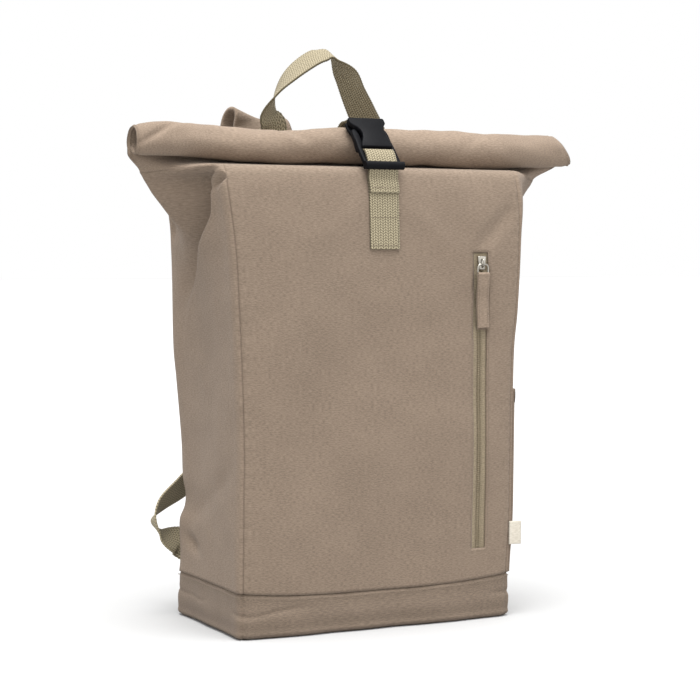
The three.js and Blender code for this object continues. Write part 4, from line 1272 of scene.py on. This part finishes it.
@dataclass
class Fastening:
    """The anchor and closing strap, with the side-release buckle between them."""

    form: BagForm
    neck: RolledNeck
    shift: float = 2.0
    sewn: float = 13.5
    slope: float = 47.0
    length: float = 59.0
    buckle_thick: float = 10.0
    behind_touch: float = 11.0
    gap: float = 0.3

    def __post_init__(self) -> None:
        """Finds where the buckle lies on the roll."""
        slope = math.radians(self.slope)
        self.down = Vector((0, -math.cos(slope), -math.sin(slope)))
        self.out = Vector((0, -math.sin(slope), math.cos(slope)))
        neck = self.neck
        lift, girth = neck.line.at(2 * self.shift / neck.length)
        self.axis = Vector((self.shift, -neck.forward, neck.middle + lift * neck.radius))
        self.roll_radius = (neck.radius - neck.layer) * girth + neck.layer
        self.touch = self.axis + self.out * (self.roll_radius + 2.8 + self.buckle_thick / 2)
        self.top = 3.0 - self.behind_touch
        self.mouth = self.top + self.length * 0.63
        self.bottom = self.top + self.length + 3.0
        self.bar = self.bottom - 20.0

    def on(self, across: float, along: float, out: float) -> Vector:
        """A point in the buckle's own frame: across, down the slope and out of it."""
        return self.touch + RIGHT * across + self.down * along + self.out * out

    def profile(self, facing: int, low: float, high: float, offset: float,
                steps: int) -> list[Vector]:
        """Points up a panel's middle, offset from its cloth.

        Args:
            facing: -1 for the front, 1 for the back.
            low: the lowest height.
            high: the highest height.
            offset: how far it stands off.
            steps: how many parts.

        Returns:
            The points.
        """
        spots = []
        share = self.shift / self.form.half_width
        for step in range(steps + 1):
            height = lerp(low, high, step / steps)
            at = self.form.panel(facing, share, height)
            above = self.form.panel(facing, share, height + 1) - at
            out = Vector((0, facing * above.z, -facing * above.y)).normalized()
            spots.append(Vector((self.shift, at.y, at.z)) + out * offset)
        return spots

    def arc(self, along: float, out: float, radius: float, start: float,
            end: float) -> list[Vector]:
        """Points round a bar: 0 degrees points up the slope, 90 out of it."""
        turns = [math.radians(lerp(start, end, step / 8)) for step in range(9)]
        return [self.on(0, along - radius * math.cos(t), out + radius * math.sin(t)) for t in turns]

    def build(self, shop: Workshop, thread: Stitching) -> None:
        """Makes both straps, their stitches and the buckle.

        Args:
            shop: where pieces are made and dressed.
            thread: where the stitches go.
        """
        first = self.gap + WEBBING_THICK / 2
        step = WEBBING_THICK + 0.35
        bar = self.bar
        wrap = 3.2
        anchor = [
            *self.profile(-1, 349, 412, first, 8),
            self.on(0, self.bottom - 2, -first - step),
            self.on(0, bar + 4, -wrap),
            *self.arc(bar, 0, wrap, -90, 90),
            self.on(0, bar + 5, wrap - 0.4),
            self.on(0, self.bottom - 7, 0.6),
            self.on(0, self.bottom - 2, -first),
            *reversed(self.profile(-1, 400, 413, first + step, 3)),
        ]
        stations = [Station(at, RIGHT) for at in anchor]
        webbing(shop, "anchor_strap", stations, 300, 0.25, "anchor_strap")
        for height, offset in ((378, 2.1), (352.5, 2.1), (404, 4.2)):
            at = self.profile(-1, height, height + 1, offset, 1)[0]
            thread.across(at, self.sewn, FORWARD)
        self.closing(shop, thread)
        self.buckle(shop)

    def closing(self, shop: Workshop, thread: Stitching) -> None:
        """Makes the strap from the back panel over the roll into the buckle.

        Args:
            shop: where pieces are made and dressed.
            thread: where the stitches go.
        """
        rise = self.profile(1, 380, 414, 2 * self.gap + WEBBING_THICK / 2, 5)
        radius = self.roll_radius + 0.8 + WEBBING_THICK / 2
        over = []
        for step in range(9):
            turn = math.radians(lerp(-4, 98, step / 8))
            reach = radius + 3.8 * ease(step / 8, 0.35, 1.0)
            over.append(self.axis + Vector((0, reach * math.cos(turn), reach * math.sin(turn))))
        wrap = 2.6
        middle = self.top + 3.2
        line = [*rise, *over, self.on(0, self.top - 2, -1.5),
                *self.arc(middle, -0.6, wrap, 270, 90)]
        stations = [Station(Vector((self.shift, at.y, at.z)), RIGHT) for at in line]
        webbing(shop, "closing_strap", stations, 260, 0.25, "closure_strap")
        for height in (384, 396):
            at = self.profile(1, height, height + 1, 2.6, 1)[0]
            thread.across(at, self.sewn, -FORWARD)

    def plate(self, outline: Sequence[tuple[float, float]], low: float, high: float,
              bevel: float) -> bmesh.types.BMesh:
        """A flat moulding with rounded edges on the buckle's slope.

        Args:
            outline: points across and along, anticlockwise seen from outside.
            low: its underside, out of the slope.
            high: its face.
            bevel: the radius of its edges.

        Returns:
            The mesh, in metres.
        """
        mesh = bmesh.new()
        verts = [mesh.verts.new(self.on(x, along, low) * MM) for x, along in outline]
        face = mesh.faces.new(verts)
        grown = bmesh.ops.extrude_face_region(mesh, geom=[face])
        moved = [v for v in grown["geom"] if isinstance(v, bmesh.types.BMVert)]
        bmesh.ops.translate(mesh, verts=moved, vec=self.out * (high - low) * MM)
        bmesh.ops.recalc_face_normals(mesh, faces=mesh.faces)
        sharp = [e for e in mesh.edges if e.calc_face_angle(0) > 0.6]
        bmesh.ops.bevel(mesh, geom=sharp, offset=bevel * MM, offset_type="OFFSET", segments=3,
                        profile=0.5, affect="EDGES", material=-1, clamp_overlap=True)
        return mesh

    def buckle(self, shop: Workshop) -> None:
        """Makes the socket with its notched shell, the prongs and the frame with its end bar.

        Args:
            shop: where pieces are made and dressed.
        """
        top, mouth, bottom = self.top, self.mouth, self.bottom
        notch = [(17.5, 0.0), (18.8, 1.6), (18.6, 6.5), (16.2, 9.8), (12.6, 12.6), (10.4, 16.0),
                 (9.8, 20.0), (10.8, 24.4), (12.8, 29.0), (14.8, 33.0), (15.8, mouth - top)]
        base = [(17.5, 0.0), (18.8, 1.6), (19.0, 9.0), (17.8, 12.5), (17.0, 17.0), (17.2, 23.0),
                (18.2, 29.0), (18.8, mouth - top)]
        half = self.buckle_thick / 2
        parts = []
        for rows, low, high in ((notch, 0.2, half), (base, -half, -1.6)):
            right = [(max(x, 14.6), top + along) for x, along in rows]
            outline = right + [(-x, top + along) for x, along in reversed(rows)]
            parts.append(self.plate(outline, low, high, 1.1))
        core = [(8.0, top + 8), (8.0, mouth - 2), (-8.0, mouth - 2), (-8.0, top + 8)]
        parts.append(self.plate(core, -2.0, 0.6, 0.3))
        bar = [self.on(x, top + 3.0, -0.6) for x in (-17.5, -6, 6, 17.5)]
        parts.append(tube(bar, 1.6, 12, 12))
        self.join(shop, "buckle_socket", parts, ["buckle_socket"])
        parts = []
        for side in (-1, 1):
            arm = [(15.2, top + 12), (17.6, top + 13.5), (18.6, top + 19), (18.2, top + 27),
                   (18.9, mouth - 1), (19.0, bottom - 3), (15.4, bottom - 3), (15.0, mouth),
                   (12.6, top + 29), (12.0, top + 19), (13.2, top + 13)]
            outline = [(side * x, along) for x, along in arm]
            parts.append(self.plate(outline, -2.2, 2.0, 0.9))
        low, high = mouth + 0.4, mouth + 3.4
        shoulder = [(17.5, low), (17.5, high), (-17.5, high), (-17.5, low)]
        parts.append(self.plate(shoulder, -1.8, 1.8, 0.6))
        inner = [self.on(x, self.bar, 0) for x in (-17, -6, 6, 17)]
        parts.append(tube(inner, 1.5, 12, 12))
        rod = [self.on(x, bottom - 3.2, 1.8) for x in (-19.8, -18.6, -6, 6, 18.6, 19.8)]
        parts.append(tube(rod, 3.8, 24, 18))
        self.join(shop, "buckle_frame", parts, ["buckle_frame"])

    def join(self, shop: Workshop, name: str, parts: Sequence[bmesh.types.BMesh],
             nodes: Sequence[str]) -> None:
        """Puts several meshes into one moulded piece.

        Args:
            shop: where pieces are made and dressed.
            name: the piece's name.
            parts: the meshes, freed here.
            nodes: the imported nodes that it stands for.
        """
        whole = bmesh.new()
        whole.loops.layers.uv.new("weave")
        for part in parts:
            add_mesh(whole, part)
        made = shop.piece(name, whole, "moulded_black", nodes)
        made.data.set_sharp_from_angle(angle=math.radians(40))


# The zip ---------------------------------------------------------------------------------------


@dataclass
class FrontZip:
    """Tape, coil, slider, link and pull tab of the front pocket."""

    form: BagForm
    shell: Shell
    pitch: float = 1.9
    tape_width: float = 26.5
    tab_width: float = 12.0
    slider_top: float = 343.0

    def face(self, x: float, height: float, behind: float) -> Vector:
        """A point on the front panel at x, moved behind its face."""
        at = self.form.panel(-1, x / self.form.front_right.at(height)[0], height)
        return Vector((x, at.y + behind, height))

    def build(self, shop: Workshop, thread: Stitching) -> None:
        """Makes every piece of the zip.

        Args:
            shop: where pieces are made and dressed.
            thread: where the stitches go.
        """
        shell = self.shell
        middle = shell.zip_shift

        def tape(across: float, along: float) -> Vector:
            """A point of the zip's tape.

            Args:
                across: the share across the cloth.
                along: the share along the cloth.

            Returns:
                The point, in millimetres.
            """
            height = lerp(shell.zip_low - 6, shell.zip_high + 6, along)
            x = middle + (across - 0.5) * self.tape_width
            return self.face(x, height, 2.3 + 0.25 * math.cos((across - 0.5) * 12))

        mesh = cloth_grid(18, 60, tape, (self.tape_width, 290))
        made = shop.wall(shop.piece("zip_tape", mesh, "zip_tape_cloth", ["zip_tape"]), 0.9)
        coil = bmesh.new()
        count = int((shell.zip_high - shell.zip_low - 4) / self.pitch)
        for index in range(count):
            height = shell.zip_low + 2 + index * self.pitch
            for side in (-1, 1):
                level = height + (0.5 if side > 0 else 0) * self.pitch
                at = self.face(middle + side * 1.35, level, 1.15)
                add_grain(coil, at, Matrix.Rotation(side * 0.22, 4, "Y"), (1.5, 0.85, 0.62))
        shop.piece("zip_coil", coil, "zip_coil_plastic", ["zip_coil"])
        self.slider(shop)
        self.tab(shop, thread)
        wide = shell.window / 2 + 2.2
        low, high = shell.zip_low - 2.2, shell.zip_high + 2.2
        corners = [(-wide, low), (wide, low), (wide, high), (-wide, high), (-wide, low)]
        for (x0, z0), (x1, z1) in zip(corners, corners[1:]):
            count = 40 if x0 == x1 else 6
            line = []
            for share in (step / count for step in range(count + 1)):
                line.append(self.face(middle + lerp(x0, x1, share), lerp(z0, z1, share), 0))
            thread.row(line, lambda _: FORWARD, 2.8, 0.26)

    def slider(self, shop: Workshop) -> None:
        """Makes the slider with its bail, and the link that hangs in it.

        Args:
            shop: where pieces are made and dressed.
        """
        top = self.slider_top
        at = self.face(self.shell.zip_shift, top, 0)
        mesh = bmesh.new()
        spot = Matrix.Translation(Vector((at.x, at.y - 1.2, top - 6.5)) * MM)
        size = Matrix.Diagonal((9 * MM, 3 * MM, 13 * MM, 1))
        bmesh.ops.create_cube(mesh, size=1, matrix=spot @ size)
        for vert in mesh.verts:
            if vert.co.z < (top - 6.5) * MM:
                vert.co.x = (at.x + (vert.co.x / MM - at.x) * 0.7) * MM
        bmesh.ops.bevel(mesh, geom=mesh.edges[:], offset=1.0 * MM, offset_type="OFFSET", segments=3,
                        profile=0.5, affect="EDGES", material=-1)
        bends = ((2.4, 2.6), (5.2, 4.2), (5.4, 8.0), (2.4, 10.6))
        bail = [Vector((at.x, at.y - out, top - down)) for out, down in bends]
        add_mesh(mesh, tube(bail, 0.8, 16, 8))
        shop.piece("zip_slider", mesh, "nickel_plate", ["zip_slider"])
        centre = Vector((at.x, at.y - 4.0, top - 13.0))
        half, tall = 5.6, 5.4
        ring = []
        for step in range(33):
            turn = 2 * math.pi * step / 32
            x = math.copysign(abs(math.cos(turn)) ** 0.6, math.cos(turn)) * half
            z = math.copysign(abs(math.sin(turn)) ** 0.6, math.sin(turn)) * tall
            ring.append(centre + Vector((x, 0, z)))
        shop.piece("pull_link", tube(ring, 0.8, 64, 8, loop=True), "nickel_plate", ["pull_link"])

    def tab(self, shop: Workshop, thread: Stitching) -> None:
        """Makes the folded cloth tab, with frayed threads at its end.

        Args:
            shop: where pieces are made and dressed.
            thread: where the stitches go.
        """
        head = self.face(self.shell.zip_shift, self.slider_top - 17.2, -4.0)
        lean = 0.045

        def at(out: float, down: float) -> Vector:
            """A point of the tab.

            Args:
                out: how far behind the tab's middle.
                down: how far down from its head.

            Returns:
                The point, in millimetres.
            """
            rest = ease(down, 0, 26)
            y = lerp(head.y, self.face(head.x, head.z - down, 0).y - 1.6, rest)
            return Vector((head.x + lean * down, y + out, head.z - down))

        front = [at(-0.75, down) for down in (50, 40, 30, 20, 10, 3)]
        turn = [head + Vector(step) for step in ((0, -1.2, 0.4), (0, 0, 1.6), (0, 1.2, 0.4))]
        rear = [at(0.75, down) for down in (3, 10, 20, 30, 40, 51)]
        stations = [Station(p, RIGHT) for p in (*front, *turn, *rear)]
        mesh = band(stations, self.tab_width, 120, 8, ripple=0.12)
        # the tab wears the lighter canvas copy, which is painted light
        made = shop.wall(shop.piece("pull_tab", mesh, "canvas_painted_light", ["pull_tab"]), 0.9, 0.0)
        fray = bmesh.new()
        fray.loops.layers.uv.new("weave")
        for index in range(26):
            share = index / 25 - 0.5
            jitter = noise.noise(Vector((index * 1.7, 0.3, 0.9)))
            foot = at(-0.5 + 0.9 * (index % 2), 50)
            start = foot + RIGHT * share * 11.4
            end = start + Vector((jitter * 1.2, -0.3, -1.6 - 1.6 * abs(jitter)))
            along = (end - start).normalized()
            turned = along.to_track_quat("X", "Z").to_matrix().to_4x4()
            add_grain(fray, (start + end) / 2, turned, ((end - start).length / 2, 0.2, 0.2))
        shop.piece("tab_fray", fray, "canvas_painted_light")
        for side in (-1, 1):
            line = [at(-1.25, down) + RIGHT * side * 4.4 for down in (5, 15, 25, 35, 45)]
            thread.row(line, lambda _: FORWARD, 2.6, 0.24)


# Side pocket and label ---------------------------------------------------------------------------


@dataclass
class SidePocket:
    """The open pocket on the right gusset, with its hem, and the label in the side seam."""

    form: BagForm
    top: float = 217.0
    ease_out: float = 7.0
    cloth: float = 1.6

    def at(self, share: float, height: float, extra: float = 0.0) -> Vector:
        """A point of the pocket's outer face.

        Args:
            share: 0 at the front seam, 1 at the back seam.
            height: over the ground.
            extra: how much further out.

        Returns:
            The point, in millimetres.
        """
        place = self.form.gusset(Side.RIGHT, share, height)
        up = (height - self.form.band_height) / (self.top - self.form.band_height)
        bulge = max(math.sin(math.pi * share), 0.0) ** 1.3 * min(up / 0.62, 1.0)
        return place + RIGHT * (self.cloth + 0.3 + self.ease_out * bulge + extra)

    def build(self, shop: Workshop, thread: Stitching) -> None:
        """Makes the pocket, its hem and the blank label.

        Args:
            shop: where pieces are made and dressed.
            thread: where the stitches go.
        """
        low = self.form.band_height + 0.6

        def place(across: float, along: float) -> Vector:
            """A point of the pocket."""
            height = lerp(low, self.top, along)
            return self.at(lerp(0.01, 0.99, across), height)

        mesh = cloth_grid(60, 70, place, (150, 175))
        made = shop.piece("side_pocket", mesh, "canvas_cloth", ["side_pocket"])
        shop.wall(made, self.cloth)

        def hem(across: float, along: float) -> Vector:
            """A point of the pocket's hem.

            Args:
                across: the share across the cloth.
                along: the share along the cloth.

            Returns:
                The point, in millimetres.
            """
            share = lerp(0.012, 0.988, across)
            turn = math.pi * 2 * along
            height = self.top - 6.5 + 7.0 * math.cos(turn)
            return self.at(share, min(height, self.top), -0.9 * math.sin(turn))

        shop.piece("pocket_hem", cloth_grid(60, 24, hem, (150, 28)), "canvas_cloth")
        line = [self.at(share / 24, self.top - 11.5, 0.2) for share in range(1, 24)]
        thread.row(line, lambda _: RIGHT, 3.0, 0.28)
        root = self.form.panel(-1, 0.999, 80)

        def label(across: float, along: float) -> Vector:
            """A point of the label.

            Args:
                across: the share across the cloth.
                along: the share along the cloth.

            Returns:
                The point, in millimetres.
            """
            turn = math.pi * (across - 0.5)
            reach = 12.2 * math.cos(turn) if abs(across - 0.5) > 0.02 else 12.2
            wave = 0.5 * noise.noise(Vector((reach * 0.1, along * 2, 5)))
            y = root.y - 1.6 - 0.1 * reach + 0.55 * math.sin(turn) + wave
            return Vector((root.x + 1.0 + reach, y, 69 + 22 * along))

        mesh = cloth_grid(24, 24, label, (25, 22))
        made = shop.wall(shop.piece("side_label", mesh, "label_cloth", ["side_label"]), 0.35, 0.0)


# The back ----------------------------------------------------------------------------------------


@dataclass
class Carrying:
    """Carry handle, shoulder straps, adjusters and the slack webbing to the foot."""

    form: BagForm
    shift: float = 2.0
    legs: float = 68.0
    sewn: float = 12.6
    shoulder_width: float = 62.0
    shoulder_thick: float = 3.0
    shoulder_end: float = 205.0
    standoff: float = 20.0
    arches: tuple[float, float] = (474.0, 452.0)
    tilts: tuple[float, float] = (0.22, 0.0)
    # the handle's middle line, and the way from its near edge to its far edge
    arch: tuple[tuple[float, ...], ...] = (
        (-53.4, 50.0, 458.6, 1.0, 0.0, 0.0),
        (-58.8, 45.0, 476.0, 0.79, 0.61, 0.0),
        (-53.7, 40.0, 494.3, 0.28, 0.96, -0.08),
        (-42.2, 36.0, 510.6, 0.08, 0.96, 0.26),
        (-26.4, 34.0, 524.3, 0.1, 0.89, 0.44),
        (-11.4, 33.0, 532.5, 0.32, 0.83, 0.47),
        (1.9, 33.0, 533.2, 0.45, 0.88, 0.15),
        (17.1, 35.0, 517.1, -0.14, 0.95, -0.28),
        (27.2, 39.0, 500.4, -0.28, 0.92, -0.28),
        (39.5, 44.0, 481.5, -0.39, 0.84, -0.39),
        (54.9, 50.0, 456.6, -0.49, 0.77, -0.42),
    )

    def on_back(self, x: float, height: float, offset: float) -> Vector:
        """A point on the back panel, offset from its cloth.

        Args:
            x: the way across the bag.
            height: over the ground.
            offset: how far it stands off.

        Returns:
            The point, in millimetres.
        """
        seam = self.form.seams(Side.LEFT if x < 0 else Side.RIGHT, height)[1]
        at = self.form.panel(1, x / seam, height)
        return at + Vector((0, offset, 0))

    def build(self, shop: Workshop, thread: Stitching) -> None:
        """Makes every piece on the bag's back.

        Args:
            shop: where pieces are made and dressed.
            thread: where the stitches go.
        """
        self.handle(shop, thread)
        for side, arch, tilt in zip(Side, self.arches, self.tilts):
            self.shoulder(shop, thread, side, arch, tilt)
            self.lower(shop, side)
            name = f"adjuster_{side.name.lower()}"
            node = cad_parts[name]
            node.data.materials.clear()
            node.data.materials.append(shop.materials["moulded_black"])
            log.info("%s dressed", name)

    def handle(self, shop: Workshop, thread: Stitching) -> None:
        """Makes the arched handle of webbing.

        Args:
            shop: where pieces are made and dressed.
            thread: where the stitches go.
        """
        rise = (398, 408, 416)
        points = [self.on_back(self.shift - self.legs, height, 1.2) for height in rise]
        ways = [RIGHT, RIGHT, RIGHT]
        for x, y, z, *way in self.arch:
            points.append(Vector((x, y, z)))
            ways.append(Vector(way))
        points += [self.on_back(self.shift + self.legs, height, 1.2) for height in rise[::-1]]
        ways += [-RIGHT, -RIGHT, -RIGHT]
        stations = [Station(at, way) for at, way in zip(points, ways)]
        webbing(shop, "carry_handle", stations, 420, 0.3, "carry_handle")
        for side in (-1, 1):
            for height in (402, 412):
                at = self.on_back(side * self.legs + self.shift, height, 2.2)
                thread.across(at, self.sewn, -FORWARD)

    def shoulder(self, shop: Workshop, thread: Stitching, side: Side, arch: float,
                 tilt: float) -> None:
        """Makes one shoulder strap of canvas with stitched edges.

        Args:
            shop: where it is dressed.
            thread: where its stitches go.
            side: which strap.
            arch: how high it stands over the seam.
            tilt: how far its right edge hangs at the top of the arch.
        """
        x = side.value * 60.0
        seam = self.form.seam_height
        reach, fall = arch - seam, seam - self.shoulder_end
        points = [self.on_back(x * 0.93, height, 4.5) for height in (402, 409, 415)]
        for outward, behind, up in ((0.86, 0.35, 0.45), (0.87, 0.6, 0.86), (0.91, 0.95, 1.0),
                                    (0.96, 1.32, 0.84), (1.02, 1.32, 0.3)):
            points.append(Vector((x * outward, 63 + self.standoff * behind, seam + up * reach)))
        for outward, behind, down in ((1.1, 1.05, 0.25), (1.16, 1.0, 0.55), (1.26, 1.0, 0.86),
                                      (1.27, 1.0, 1.0)):
            points.append(Vector((x * outward, 78 + self.standoff * behind, seam - down * fall)))
        ways = [RIGHT - UP * tilt * hump(index, 5, 2.2) for index in range(len(points))]
        stations = [Station(at, way) for at, way in zip(points, ways)]
        mesh = band(stations, self.shoulder_width, 260, 24, crown=1.2)
        name = f"shoulder_strap_{side.name.lower()}"
        made = shop.wall(shop.piece(name, mesh, "canvas_cloth", [name]), self.shoulder_thick, 0.0)
        for edge in (-1, 1):
            aside = Vector((edge * (self.shoulder_width / 2 - 5), 1.7, 0))
            thread.row([at + aside for at in points[7:]], lambda _: -FORWARD)

    def lower(self, shop: Workshop, side: Side) -> None:
        """Makes the slack webbing from the adjuster to the bag's foot.

        Args:
            shop: where pieces are made and dressed.
            side: which side.
        """
        edge = 173.5
        end = Vector((side.value * 76.2, 98.0, edge - 1.8))
        # how far out, up and behind, then the way across the webbing
        rows = [(0.69, 0.83, 0.9, 0.7, -0.5, 0.6), (0.9, 0.69, 0.8, 0.6, -0.6, 0.6),
                (1.055, 0.6, 0.75, 0.5, -0.8, 0.45), (1.12, 0.51, 0.72, 0.25, -1.0, 0.15),
                (1.07, 0.43, 0.66, 0.15, -0.9, -0.3), (0.95, 0.39, 0.35, 0.2, -0.5, -0.85)]
        foot = self.on_back(side.value * 116.2, 62, 1.5)
        points = [end, end + Vector((0, 0, -10))]
        ways = [RIGHT * side.value, RIGHT * side.value]
        for out, height, behind, lean, back, turned in rows:
            x = side.value * self.form.half_width * out
            points.append(Vector((x, 78 + self.standoff * behind, edge * height)))
            ways.append(Vector((side.value * lean, back, turned)))
        points += [foot + Vector((side.value * 10, 0.3, 0.3)), foot]
        ways += [-UP, -UP]
        stations = [Station(at, way) for at, way in zip(points, ways)]
        name = f"lower_webbing_{side.name.lower()}"
        webbing(shop, name, stations, 260, 0.3, name)


# Studio ------------------------------------------------------------------------------------------


@dataclass
class Studio:
    """A pale floor, soft lights and the camera."""

    yaw: float = -27.1
    pitch: float = 3.2
    roll: float = 0.3
    distance: float = 1.885
    target: tuple[float, float, float] = (0.006, 0.0, 0.253)
    lens: float = 102.1

    def build(self) -> None:
        """Sets the studio up."""
        self.floor()
        self.camera()
        self.light("sky", (-0.2, -0.45, 3.0), 6.2, 50)
        self.light("left", (-1.2, -0.9, 0.8), 1.0, 55)
        self.light("right", (0.9, -1.3, 0.8), 0.8, 55)
        world = bpy.data.worlds.new("studio")
        world.use_nodes = True
        background = world.node_tree.nodes["Background"]
        background.inputs[0].default_value = (1, 1, 1, 1)
        background.inputs[1].default_value = 1.0
        bpy.context.scene.world = world
        bpy.context.scene.view_settings.view_transform = "Standard"

    def floor(self) -> None:
        """A wide plain floor."""
        mesh = bmesh.new()
        bmesh.ops.create_grid(mesh, x_segments=2, y_segments=2, size=14)
        made = add_mesh_object("floor", mesh)
        paint = bpy.data.materials.new("floor_paint")
        paint.use_nodes = True
        shader = paint.node_tree.nodes["Principled BSDF"]
        shader.inputs["Base Color"].default_value = (0.39, 0.39, 0.39, 1)
        shader.inputs["Roughness"].default_value = 0.9
        shader.inputs["Specular IOR Level"].default_value = 0.1
        made.data.materials.append(paint)

    def camera(self) -> None:
        """The camera at the photograph's angle."""
        yaw, pitch = math.radians(self.yaw), math.radians(self.pitch)
        level = math.cos(pitch)
        back = Vector((math.sin(yaw) * level, -math.cos(yaw) * level, math.sin(pitch)))
        data = bpy.data.cameras.new("camera")
        data.lens = self.lens
        data.sensor_width = 36
        data.clip_end = 60
        eye = add_object("camera", data)
        eye.location = Vector(self.target) + back * self.distance
        turn = (-back).to_track_quat("-Z", "Y").to_matrix()
        turn = turn @ Matrix.Rotation(math.radians(self.roll), 3, "Z")
        eye.rotation_euler = turn.to_euler()
        bpy.context.scene.camera = eye

    def light(self, name: str, spot: Sequence[float], power: float, spread: float) -> None:
        """A broad soft light, spread in degrees, that shines from a spot to the bag.

        Args:
            name: its name.
            spot: where it stands, in metres.
            power: its strength.
            spread: how soft it is, in degrees.
        """
        data = bpy.data.lights.new(name, "SUN")
        data.angle = math.radians(spread)
        data.energy = power
        lamp = add_object(name, data)
        lamp.location = spot
        aim = Vector((0, 0, 0.25)) - Vector(spot)
        lamp.rotation_euler = aim.to_track_quat("-Z", "Y").to_euler()


def main() -> None:
    """Builds the bag."""
    logging.basicConfig(level=logging.INFO, format="%(name)s: %(message)s")
    Studio().build()
    shop = Workshop()
    form = BagForm()
    thread = Stitching()
    shell = Shell(form)
    neck = RolledNeck(form)
    shell.build(shop)
    neck.build(shop)
    Fastening(form, neck).build(shop, thread)
    FrontZip(form, shell).build(shop, thread)
    SidePocket(form).build(shop, thread)
    Carrying(form).build(shop, thread)
    shell.sew(thread)
    shop.piece("stitching", thread.mesh, "sewing_thread")
    log.info("%d pieces", len(shop.pieces))


if __name__ == "__main__":
    main()
